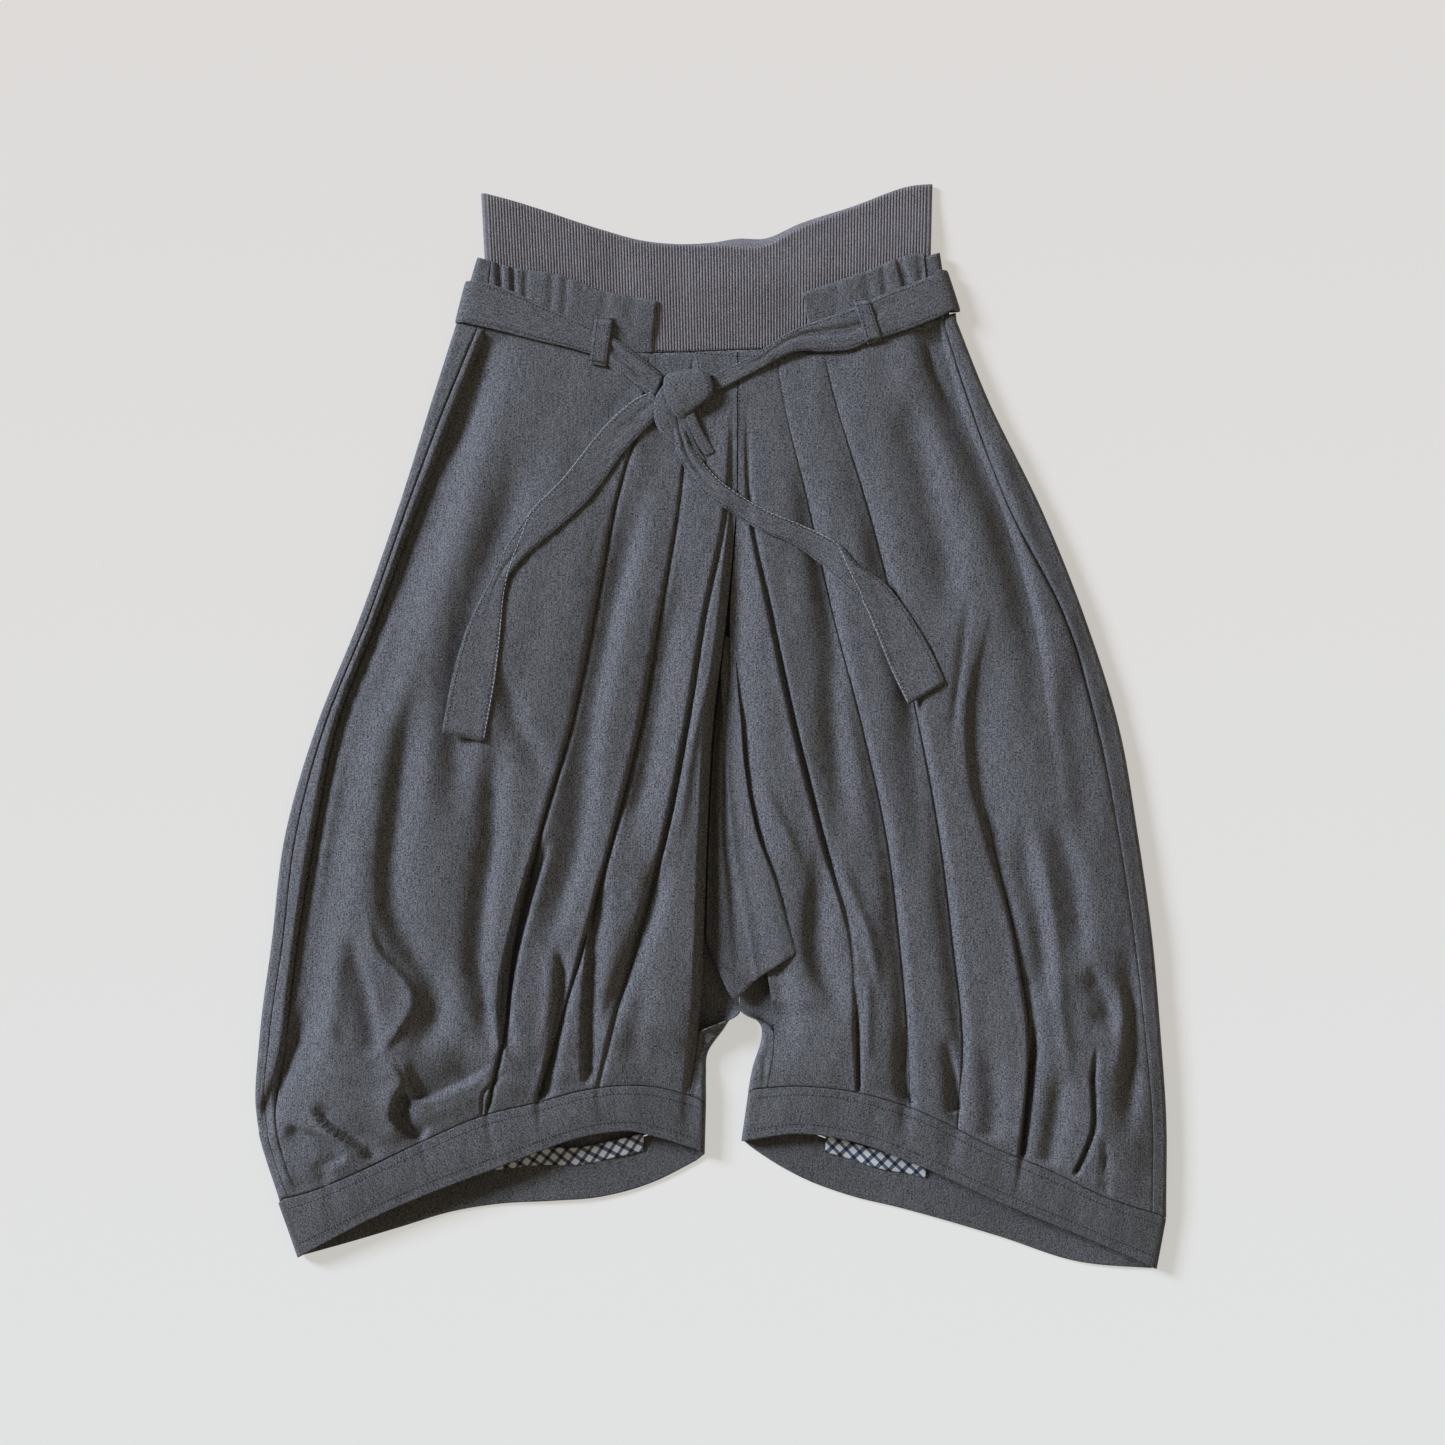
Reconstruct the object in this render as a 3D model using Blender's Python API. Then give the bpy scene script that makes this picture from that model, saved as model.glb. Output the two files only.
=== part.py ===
"""Pleated drop-crotch capri pants, laid flat on their back.

Metres, +Z up. X runs across the garment, +Y runs toward the waist, and the floor is z = 0.
Left and right are as seen from above. Tables are in millimetres and are scaled by MM.
Each cloth piece is a closed wall: an outer grid of points, and the same grid moved in by the cloth.
"""
from collections import namedtuple

import bmesh
import bpy
import numpy as np

MM = 0.001

# Driving sizes in millimetres
CLOTH = 1.5
BAND_CLOTH = 2.0
WAIST_CLOTH = 1.2
BELT_CLOTH = 1.6
RIB_CLOTH = 2.2
BELT_WIDTH = 31.0
HEM_BAND_DEPTH = 36.7
RIB_PITCH = 2.2
RIB_RELIEF = 0.7
SEAM_GAP = 0.3
HEM_GAP = 0.8
REST_GAP = 0.5

# Heights of the flattened layers at the waist, in millimetres
WAIST_BACK_UNDER = 2.0
RIB_UNDER = 3.6
RIB_TOP = 8.2
WAIST_FRONT_TOP = 9.9

# Heights of the hollow legs, in millimetres
SIDE_HEIGHT = 9.9
LEG_HEIGHT = 22.0
HEM_HEIGHT = 15.0
LOWEST_TOP = 4.2
SIDE_RADIUS = 4.5
SIDE_REACH = 60.0
WAIST_REACH = 230.0
HEM_REACH = 48.0
CROTCH = (20.5, -203.0)
HEM_MOUTH_RISE = 1.0

# Middle and half width of the open centre of the woven waistband, and how far its edge tapers
OPEN_CENTRE = (14.0, 52.0, 16.0)

# Radii of the side folds of the flattened waistbands and belt
RIB_FOLD = 4.0
WAIST_FOLD = 5.0
BELT_FOLD = 9.0

# Below the crotch the backs roll up from the floor over this height, at rows this far from the crotch
CURL_STEPS = 4
CROTCH_ROLL = 24.0
CROTCH_WRAP = 5.0
ROLL_ROWS = (6.0, -7.5, -14.0, -24.0)

# Levels near the waist seam, the hems and the waistband's top, from which a column's ends are found
WAIST_LEVEL = 280.0
HEM_LEVEL = -300.0
BAND_TOP_LEVEL = 335.0

# Binding inside the hems
BINDING_WIDTH = 9.0
BINDING_CLOTH = 1.0
BINDING_INSET = 30.0

Fold = namedtuple("Fold", "name x depth left right floor")
Crease = namedtuple("Crease", "points depth width")

# Heights up the garment at which the tables of lines give their x
LEVELS = (300, 240, 160, 80, 0, -80, -160, -230, -290, -350)

# Lines down each leg, outer side seam first. x and depth are at LEVELS; left and right say how far
# a fold's slopes reach on each side, and floor is half the width of its bottom.
LEFT_LINES = (
    Fold("side seam", (-169, -194, -224, -252, -284, -305, -315, -325, -328, -310),
         (0, 0, 0, 0, 0, 0, 0, 0, 0, 0), 1, 1, 0),
    Fold("side ridge", (-163, -186, -217, -246, -276, -292, -305, -313, -320, -302),
         (3, 6, 5, 5, 5, 6, 7, 7, 6, 3), 2.5, 16, 1),
    Fold("outer drape", (-144, -152, -170, -200, -223, -237, -236, -229, -225, -222),
         (0, 1, 2, 2, 3, 5, 6, 3, 0, 0), 7, 12, 0),
    Fold("pleat 1", (-42, -49, -70, -85, -101, -123, -144, -153, -168, -170),
         (0, 1, 4, 5, 6, 8, 9, 9, 4, 0), 2.5, 9, 0.5),
    Fold("pleat 2", (-12, -16, -24, -36, -54, -71, -94, -115, -133, -141),
         (0, 1, 5, 6, 6, 6, 7, 7, 4, 0), 4, 5, 0.5),
    Fold("pleat 3", (17, 15, 11, -6, -20, -32, -61, -80, -92, -97),
         (0, 0, 5, 6, 7, 8, 9, 7, 4, 0), 2.5, 2.5, 0.5),
    Fold("centre valley", (19, 19, 18, 11, 1, -3, -6, -10, -19, -23),
         (0, 0, 5, 8, 10, 10, 8, 4, 2, 0), 5, 6, 2),
)
RIGHT_LINES = (
    Fold("centre valley", (19.5, 19.5, 18.8, 13.5, 16, 22, 37, 46, 37, 33),
         (0, 0, 5, 8, 10, 10, 8, 2, 0, 0), 5, 14, 2),
    Fold("pleat 1", (24, 26, 28, 43, 61, 82, 103, 105, 109, 111),
         (0, 0, 5, 7, 9, 10, 5, 5, 3, 0), 2.5, 2.5, 1),
    Fold("pleat 2", (45, 53, 72, 94, 110, 125, 138, 144, 147, 149),
         (0, 1, 3, 3, 3, 3, 4, 5, 3, 0), 8, 2.5, 0),
    Fold("pleat 3", (81, 93, 112, 134, 152, 165, 176, 184, 181, 179),
         (0, 2, 3, 3, 3, 3, 4, 5, 4, 0), 8, 2.5, 0),
    Fold("pleat 4", (128, 146, 168, 184, 190, 205, 222, 233, 230, 225),
         (0, 0, 0, 1, 2, 3, 5, 8, 8, 3), 3, 12, 0.5),
    Fold("side valley", (153, 172, 202, 232, 243, 256, 275, 280, 276, 260),
         (5, 7, 5, 4, 4, 3, 3, 4, 5, 2), 6, 8, 1),
    Fold("side seam", (170, 189, 219, 259, 283, 299, 311, 319, 324, 324),
         (0, 0, 0, 0, 0, 0, 0, 0, 0, 0), 1, 1, 0),
)

# Lone troughs in the gathers above the hems and soft ones on the broad panels
LEFT_CREASES = (
    Crease(((-163, -253), (-200, -269), (-222, -273), (-230, -286), (-225, -297), (-211, -304)), 8, 6),
    Crease(((-291, -275), (-284, -286), (-269, -300), (-258, -308), (-251, -320)), 7, 5),
    Crease(((-141, 188), (-152, 122), (-177, 78), (-192, 27), (-196, -10)), 2.5, 12),
    Crease(((-163, -54), (-170, -91), (-177, -164), (-181, -208)), 3, 11),
)
RIGHT_CREASES = (
    Crease(((105, -190), (104, -208), (106, -230), (108, -267)), 5, 5),
    Crease(((142, 210), (157, 152), (168, 93)), 2.5, 12),
    Crease(((224, -60), (238, -130), (238, -200)), 4, 9),
)

# How many plain columns stand between one line and the next
LEFT_BETWEEN = (0, 5, 6, 2, 2, 2)
RIGHT_BETWEEN = (2, 2, 2, 2, 3, 2)

# Rows down a leg, from the waist seam to the hem seam
LEG_ROWS = (0, 0.05, 0.12, 0.2, 0.28, 0.36, 0.44, 0.52, 0.6, 0.68, 0.75, 0.81, 0.87, 0.881, 0.893, 0.906,
            0.94, 0.97, 1)
CROTCH_ROW = 12

LEFT_OUTLINE = (-187, -206, -231, -259, -291, -314, -324, -333, -335, -318)
RIGHT_OUTLINE = (180, 204, 243, 275, 300, 314, 325, 331, 335, 335)

# Curves as (x, y) points, from the left to the right
WAIST_SEAM = ((-188, 294), (-141, 284), (-82, 275), (-40, 275), (58, 277), (87, 275), (116, 280),
              (181, 300))
LEFT_HEM_SEAM = ((-319, -348), (-302, -344), (-266, -330), (-211, -304), (-169, -286), (-128, -276),
                 (-89, -266), (-45, -264), (-4, -275))
LEFT_FRONT_HEM = ((-305, -391), (-247, -360), (-163, -326), (-77, -298), (-60, -297), (-38, -302),
                  (-5, -313))
LEFT_BACK_HEM = ((-305, -391), (-266, -380), (-229, -369), (-192, -358), (-155, -352), (-119, -350),
                 (-82, -347), (-45, -337), (-5, -317))
RIGHT_HEM_SEAM = ((27, -267), (65, -264), (109, -269), (147, -280), (212, -311), (249, -326), (286, -344),
                  (335, -361))
RIGHT_FRONT_HEM = ((22, -305), (65, -299), (102, -304), (150, -321), (212, -349), (286, -380), (328, -399))
RIGHT_BACK_HEM = ((22, -305), (36, -315), (65, -332), (102, -346), (139, -355), (212, -376), (267, -394),
                  (328, -400))

# Inner edges of the legs below the crotch as (y, x) points
LEFT_INNER = ((-350, -6), (-311, -6), (-290, -4.5), (-275, -4), (-256, -4), (-241, -3), (-221, 10),
              (-203, 20))
RIGHT_INNER = ((-350, 22), (-305, 22), (-289, 25), (-269, 27), (-252, 30), (-227, 37), (-214, 36),
               (-203, 24))

# Rib-knit waistband: its top edge, and its sides at the top edge and at the waist seam
RIB_TOP_EDGE = ((-170, 394), (-144, 387), (-119, 379), (-82, 366), (-53, 358), (6, 355), (39, 355),
                (65, 368), (102, 382), (150, 399), (163, 400))
RIB_SIDES = ((-170, 163), (-164, 160))
RIB_REST = 3.0

# Woven outer waistband
LEFT_WAIST_TOP = ((-172, 345), (-144, 337), (-111, 332), (-82, 321), (-40, 313))
RIGHT_WAIST_TOP = ((67, 319), (94, 328), (124, 339), (139, 345), (169, 349))
WAIST_OUTLINE = (((285, -184), (300, -183), (330, -177), (350, -171)),
                 ((285, 176), (305, 175), (330, 171), (350, 168)))
WAIST_SIDE_SEAM = (((285, -168), (350, -161)), ((285, 162), (350, 156)))
WAIST_BACK_TOP = ((-172, 345), (-100, 325), (0, 314), (80, 321), (169, 349))
LEFT_WAIST_END = ((285, -43), (313, -40))
RIGHT_WAIST_END = ((285, 73), (319, 67))
LEFT_GATHERS = ((-151, 1.5), (-131, 0.9), (-109, 1.2), (-83, 1.0))
RIGHT_GATHERS = ((96, 0.7), (118, 0.9), (143, 1.5))
GATHER_WIDTH = 4.0

# Belt: the two edges of the strap at each station, from the knot round the back to the knot
Strap = namedtuple("Strap", "upper lower")
BELT_LEFT = (
    Strap((-44, 264), (-43, 247)), Strap((-66, 281), (-62, 262)), Strap((-84, 294), (-83, 271)),
    Strap((-105, 304), (-104, 280)), Strap((-130, 314), (-130, 287)), Strap((-155, 322), (-158, 293)),
    Strap((-172, 326), (-175, 296)),
)
BELT_RIGHT = (
    Strap((156, 331), (163, 302)), Strap((142, 326), (146, 295)), Strap((124, 317), (126, 287)),
    Strap((110, 311), (110, 285)), Strap((94, 303), (94, 283)), Strap((65, 294), (66, 276)),
    Strap((35, 277), (35, 259)), Strap((8, 261), (8, 243)),
)
BELT_SIDES = (((-187.5, 328), (-189.5, 297)), ((173.5, 336), (183.5, 306)))
BELT_BACK = (((-177, 328), (-179, 297)), ((162, 335), (172, 305)))
BELT_BACK_SAG = 18.0
TAIL_LEFT = (
    Strap((-58, 240), (-43, 223)), Strap((-82, 213), (-60, 199)), Strap((-111, 181), (-83, 166)),
    Strap((-139, 148), (-113, 141)), Strap((-154, 126), (-141, 120)), Strap((-161, 104), (-151, 100)),
    Strap((-177, 69), (-153, 56)), Strap((-191, 27), (-158, 19)), Strap((-197, -6), (-165, -11)),
)
TAIL_RIGHT = (
    Strap((-15, 212), (-25, 203)), Strap((3, 188), (-10, 172)), Strap((19, 170), (8, 153)),
    Strap((39, 158), (32, 141)), Strap((65, 147), (60, 127)), Strap((93, 133), (86, 111)),
    Strap((116, 111), (102, 100)), Strap((130, 100), (109, 91)), Strap((142, 82), (116, 74)),
    Strap((157, 56), (127, 47)), Strap((171, 32), (144, 16)),
)
LOOP_LEFT = (Strap((-84, 301), (-74, 301)), Strap((-84, 262), (-73, 261)))
LOOP_RIGHT = (Strap((105, 321), (114, 322)), Strap((115, 279), (126, 281)))
LOOP_LEFT_RAISED = (0.13, 0.915)
LOOP_RIGHT_RAISED = (0.17, 0.89)
KNOT_CENTRE = (-20.0, 240.0)
KNOT_SIZE = (21.0, 15.5)
KNOT_TILT = 0.3
KNOT_HEIGHT = 9.0
KNOT_EDGE = 1.5
KNOT_GROOVE = (-9.0, 3.0, 1.6)

# Crotch piece: its edges as (x, y) points from the top down
CROTCH_LEFT = ((7, 34), (3, 0), (0, -40), (-1, -80), (-3, -120), (-4, -158))
CROTCH_RIGHT = ((17, 34), (21, 19), (25, -25), (33, -76), (47, -113), (58, -150), (63, -166))
CROTCH_BOTTOM = ((-4, -158), (5, -180), (17, -200), (32, -187), (47, -176), (63, -166))
CROTCH_FLOOR = 5.0
CROTCH_RISE = 8.0
CROTCH_LIFT = 0.75

COLOURS = {
    "woven": (0.080, 0.082, 0.088, 1.0),
    "rib": (0.140, 0.128, 0.128, 1.0),
    "binding": (0.45, 0.45, 0.46, 1.0),
}


def curve(points, at):
    """Smooth curve through (position, value) points, with its slopes taken from the neighbours."""
    points = sorted(points)
    px = np.array([p[0] for p in points], float)
    py = np.array([p[1] for p in points], float)
    at = np.clip(np.asarray(at, float), px[0], px[-1])
    slopes = np.gradient(py, px)
    i = np.clip(np.searchsorted(px, at, side="right") - 1, 0, len(px) - 2)
    step = px[i + 1] - px[i]
    t = (at - px[i]) / step
    return (py[i] * (1 + 2 * t) * (1 - t) ** 2 + py[i + 1] * t * t * (3 - 2 * t)
            + slopes[i] * step * t * (1 - t) ** 2 - slopes[i + 1] * step * t * t * (1 - t))


def by_level(values, y):
    """A table row's value at height y up the garment."""
    return curve(zip(LEVELS, values), y)


def ease(t):
    """Rises smoothly from 0 to 1."""
    t = np.clip(t, 0, 1)
    return t * t * (3 - 2 * t)


class Leg:
    """One leg's lines and curves. side is -1 for the left leg and +1 for the right."""

    def __init__(self, side, lines, creases, between, outline, hem_seam, front_hem, back_hem, inner):
        self.side = side
        self.lines = lines
        self.creases = creases
        self.between = between
        self.outline_table = outline
        self.hem_seam = hem_seam
        self.front_hem = front_hem
        self.back_hem = back_hem
        self.inner = inner
        self.seam = lines[0] if side < 0 else lines[-1]
        self.centre = lines[-1] if side < 0 else lines[0]

    def outline(self, y):
        return by_level(self.outline_table, y)

    def inner_edge(self, y):
        return curve(self.inner, y)

    def hem_y(self, x):
        return curve(self.hem_seam, x)

    def back_hem_y(self, x):
        return curve(self.back_hem, x) + HEM_BAND_DEPTH

    def edge_distance(self, x, y):
        """Distance in from the nearest edge of the leg as it lies."""
        outer = np.abs(x - self.outline(y))
        from_crotch = np.hypot(x - CROTCH[0], y - CROTCH[1])
        inner = np.where(y < CROTCH[1], np.abs(self.inner_edge(y) - x), from_crotch)
        return np.minimum(outer, inner)

    def height(self, x, y):
        """Top of the leg's front above the floor."""
        x, y = np.broadcast_arrays(np.asarray(x, float), np.asarray(y, float))
        distance = self.edge_distance(x, y)
        below_waist = ease((waist_y(x) - y) / WAIST_REACH)
        above_hem = ease((y - self.hem_y(x)) / HEM_REACH)
        middle, half, taper = OPEN_CENTRE
        waist_level = RIB_TOP + (WAIST_FRONT_TOP - RIB_TOP) * ease((np.abs(x - middle) - half) / taper)
        full = waist_level + (LEG_HEIGHT - waist_level) * np.sqrt(below_waist)
        full = HEM_HEIGHT + (full - HEM_HEIGHT) * above_hem
        edge = SIDE_HEIGHT + (full - SIDE_HEIGHT) * np.sin(np.clip(distance / SIDE_REACH, 0, 1) * np.pi / 2)
        keep = np.clip(distance / SIDE_RADIUS, 0, 1)
        rounding = 0.5 + 0.5 * np.sqrt(1 - (1 - keep) ** 2)
        near_seams = (0.3 + 0.7 * above_hem) * ease((waist_y(x) - y) / 12)
        plain = edge * rounding
        return np.maximum(plain - self.dip(x, y) * near_seams, np.minimum(LOWEST_TOP, plain))

    def dip(self, x, y):
        """How far the folds and creases sink at a point."""
        total = np.zeros_like(x)
        for fold in self.lines:
            across = x - by_level(fold.x, y)
            reach = np.where(across < 0, fold.left, fold.right)
            beyond = np.maximum(np.abs(across) - fold.floor, 0) / reach
            total += np.maximum(by_level(fold.depth, y), 0) * np.exp(-beyond ** 2)
        for crease in self.creases:
            total += crease.depth * np.exp(-(path_distance(crease.points, x, y) / crease.width) ** 2)
        return total


def path_distance(points, x, y):
    """Shortest distance from (x, y) to a path of straight stretches."""
    best = np.full(np.shape(x), 1e9)
    for (ax, ay), (bx, by) in zip(points, points[1:]):
        length2 = (bx - ax) ** 2 + (by - ay) ** 2
        t = np.clip(((x - ax) * (bx - ax) + (y - ay) * (by - ay)) / length2, 0, 1)
        best = np.minimum(best, np.hypot(x - ax - t * (bx - ax), y - ay - t * (by - ay)))
    return best


def waist_y(x):
    return curve(WAIST_SEAM, x)


LEFT = Leg(-1, LEFT_LINES, LEFT_CREASES, LEFT_BETWEEN, LEFT_OUTLINE, LEFT_HEM_SEAM, LEFT_FRONT_HEM,
           LEFT_BACK_HEM, LEFT_INNER)
RIGHT = Leg(1, RIGHT_LINES, RIGHT_CREASES, RIGHT_BETWEEN, RIGHT_OUTLINE, RIGHT_HEM_SEAM, RIGHT_FRONT_HEM,
            RIGHT_BACK_HEM, RIGHT_INNER)


def fold_offsets(fold):
    """Columns that a fold needs beside its line: the ends of its bottom and of its steep slopes."""
    left = fold.floor + min(2 * fold.left, 5.0)
    right = fold.floor + min(2 * fold.right, 5.0)
    return (-left, 0.0, right)


def column_maker(leg):
    """List of functions, each giving the x of one column of the front at height y."""
    count = len(leg.lines)
    columns = []

    def room(index, y):
        here = by_level(leg.lines[index].x, y)
        near = [k for k in (index - 1, index + 1) if 0 <= k < count]
        gaps = [np.abs(by_level(leg.lines[k].x, y) - here) for k in near]
        return np.minimum.reduce(gaps)

    def offset(index, shift, y):
        if index in (0, count - 1):
            inward = 1 if index == 0 else -1
            return by_level(leg.lines[index].x, y) + inward * SEAM_GAP / 2
        widest = max(abs(s) for s in fold_offsets(leg.lines[index]))
        scale = np.minimum(1, 0.4 * room(index, y) / widest)
        return by_level(leg.lines[index].x, y) + shift * scale

    for index in range(count):
        shifts = (0.0,) if index in (0, count - 1) else fold_offsets(leg.lines[index])
        for shift in shifts:
            columns.append(lambda y, i=index, s=shift: offset(i, s, y))
        if index < count - 1:
            last = shifts[-1]
            first = 0.0 if index + 1 == count - 1 else fold_offsets(leg.lines[index + 1])[0]
            for k in range(leg.between[index]):
                f = (k + 1) / (leg.between[index] + 1)
                columns.append(lambda y, i=index, f=f, a=last, b=first:
                               (1 - f) * offset(i, a, y) + f * offset(i + 1, b, y))
    return columns


def run_down(column, top, bottom):
    """Points (x, y) down one column, from the curve top(x) to the curve bottom(x)."""
    y_top = WAIST_LEVEL
    y_bottom = HEM_LEVEL
    for _ in range(12):
        y_top = float(top(column(y_top)))
        y_bottom = float(bottom(column(y_bottom)))
    y = y_top + (y_bottom - y_top) * np.array(LEG_ROWS)
    return column(y), y


def solid(name, vertices, faces, material):
    """One closed mesh object, from points in millimetres."""
    mesh = bpy.data.meshes.new(name)
    mesh.from_pydata([tuple(float(c) * MM for c in v) for v in vertices], [], faces)
    shape = bmesh.new()
    shape.from_mesh(mesh)
    bmesh.ops.recalc_face_normals(shape, faces=shape.faces)
    shape.to_mesh(mesh)
    shape.free()
    mesh.materials.append(material)
    piece = bpy.data.objects.new(name, mesh)
    garment.objects.link(piece)
    return piece


def wall(name, outer, inner, material, ring=False):
    """Closed wall between two grids of the same size. A ring joins its last column to the first."""
    rows, cols = outer.shape[:2]
    vertices = np.concatenate([outer.reshape(-1, 3), inner.reshape(-1, 3)])
    half = rows * cols
    faces = []
    spans = cols if ring else cols - 1
    for r in range(rows - 1):
        for c in range(spans):
            a, b = r * cols + c, r * cols + (c + 1) % cols
            d, e = a + cols, b + cols
            faces += [(a, d, e), (a, e, b), (half + a, half + e, half + d), (half + a, half + b, half + e)]
    for c in range(spans):
        a, b = c, (c + 1) % cols
        d, e = (rows - 1) * cols + c, (rows - 1) * cols + (c + 1) % cols
        faces += [(a, b, half + b), (a, half + b, half + a), (d, half + e, e), (d, half + d, half + e)]
    if not ring:
        for r in range(rows - 1):
            a, d = r * cols, (r + 1) * cols
            b, e = a + cols - 1, d + cols - 1
            faces += [(a, half + a, half + d), (a, half + d, d), (b, half + e, half + b), (b, e, half + e)]
    return solid(name, vertices, faces, material)


def section_inside(x, z, cloth, side, ring=False):
    """A section's points moved in by the cloth. side is -1 where the inside is on the left of the way."""
    if ring:
        ahead_x, behind_x = np.roll(x, -1), np.roll(x, 1)
        ahead_z, behind_z = np.roll(z, -1), np.roll(z, 1)
    else:
        ahead_x, behind_x = np.append(x[1:], 2 * x[-1] - x[-2]), np.append(2 * x[0] - x[1], x[:-1])
        ahead_z, behind_z = np.append(z[1:], 2 * z[-1] - z[-2]), np.append(2 * z[0] - z[1], z[:-1])
    one = np.stack([ahead_x - x, ahead_z - z])
    two = np.stack([x - behind_x, z - behind_z])
    one = one / np.linalg.norm(one, axis=0)
    two = two / np.linalg.norm(two, axis=0)
    way = one + two
    way = way / np.linalg.norm(way, axis=0)
    bend = np.clip(np.sum(way * one, axis=0), 0.75, 1)
    normal = np.stack([side * way[1], -side * way[0]]) / bend
    if not ring:
        for end in (0, -1):
            if abs(way[0, end]) > 0.85:
                normal[:, end] = (0, -side * np.sign(way[0, end]))
    return x + cloth * normal[0], z + cloth * normal[1]


def make_leg_front(leg, name):
    """The pleated front, from the side seam to the centre seam."""
    columns = column_maker(leg)
    outer = np.zeros((len(LEG_ROWS), len(columns), 3))
    for c, column in enumerate(columns):
        x, y = run_down(column, waist_y, leg.hem_y)
        y = y - SEAM_GAP / 2 + (SEAM_GAP + HEM_GAP) / 2 * np.array(LEG_ROWS)
        outer[:, c] = np.stack([x, y, leg.height(x, y)], axis=1)
    inner = outer - np.array([0, 0, CLOTH])
    return wall(name, outer, inner, woven)


def make_leg_back(leg, name):
    """The back: flat on the floor, and wrapped over both side folds to the seams on the front."""
    side = leg.side
    turn = np.linspace(0, np.pi / 2, CURL_STEPS)
    flat = np.linspace(0, 1, 13)[1:-1]
    kinds = [("seam", 0.0), ("wrap", 1.0)]
    kinds += [("upper", t) for t in turn[1:]]
    kinds += [("lower", t) for t in turn[:-1][::-1]]
    kinds += [("flat", f) for f in flat]
    kinds += [("inner lower", t) for t in turn[:-1]]
    kinds += [("inner upper", np.pi - t) for t in turn[::-1]]
    kinds += [("inseam", np.pi)]

    def place(index, y):
        """x and z of a column at heights y."""
        kind, t = kinds[index]
        flat_start = leg.outline(y) - side * SIDE_RADIUS
        seam = by_level(leg.seam.x, y) + side * SEAM_GAP / 2
        if kind == "seam":
            return seam, leg.height(seam, y)
        if kind == "wrap":
            x = seam + t * (flat_start - seam)
            return x, leg.height(x, y)
        if kind in ("upper", "lower"):
            x = flat_start + side * SIDE_RADIUS * np.sin(t)
            sign = 1 if kind == "upper" else -1
            return x, leg.height(flat_start, y) / 2 * (1 + sign * np.cos(t))

        # Below the crotch the inner edge rolls up from the floor, by a share of the full half turn
        share = ease((CROTCH[1] - y) / CROTCH_ROLL)
        roll = np.maximum(share, 0.02)
        rolled_end = leg.inner_edge(y) + side * SIDE_RADIUS
        unrolled_end = CROTCH[0] + side * (SEAM_GAP / 2 + np.pi * SIDE_RADIUS + CROTCH_WRAP)
        flat_end = (1 - share) * unrolled_end + share * rolled_end
        if kind == "flat":
            return flat_start + t * (flat_end - flat_start), np.zeros_like(y)
        half_height = leg.height(rolled_end, y) / 2 * (0.4 + 0.6 * share)
        x = flat_end - side * SIDE_RADIUS / roll * np.sin(roll * t)
        z = half_height / roll * (1 - np.cos(roll * t))
        if kind == "inseam":
            inseam = by_level(leg.centre.x, y) - side * SEAM_GAP / 2
            wrap = CROTCH_WRAP + share ** 3 * (np.abs(inseam - rolled_end) - CROTCH_WRAP)
            along_x = -side * SIDE_RADIUS * np.cos(roll * np.pi)
            along_z = half_height * np.sin(roll * np.pi)
            length = np.hypot(along_x, along_z)
            drop = leg.height(inseam, y) - leg.height(rolled_end, y)
            x = x + wrap * along_x / length
            z = z + wrap * along_z / length + share ** 4 * drop
        return x, z

    shares = {"seam": 0, "wrap": 0, "inseam": 0, "flat": 1}
    cols = len(kinds)
    outer = np.zeros((len(LEG_ROWS), cols, 3))
    for c, (kind, t) in enumerate(kinds):
        share = shares.get(kind, t / np.pi if kind == "upper" else 1 - t / np.pi)
        x, y = run_down(lambda y, c=c: place(c, np.asarray(y, float))[0], waist_y,
                        lambda x, s=share: (1 - s) * leg.hem_y(x) + s * leg.back_hem_y(x))
        if kind == "inseam":
            column = column_maker(leg)[-1 if side < 0 else 0]
            y = run_down(column, waist_y, leg.hem_y)[1]
        if kind.startswith("in"):
            y[CROTCH_ROW:CROTCH_ROW + len(ROLL_ROWS)] = CROTCH[1] + np.array(ROLL_ROWS)
        x, z = place(c, y)
        y = y - SEAM_GAP / 2 + (SEAM_GAP + HEM_GAP) / 2 * np.array(LEG_ROWS)
        outer[:, c] = np.stack([x, y, z], axis=1)
    inner = outer.copy()
    for r in range(len(LEG_ROWS)):
        inner[r, :, 0], inner[r, :, 2] = section_inside(outer[r, :, 0], outer[r, :, 2], CLOTH, side)
    return wall(name, outer, inner, woven)


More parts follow.
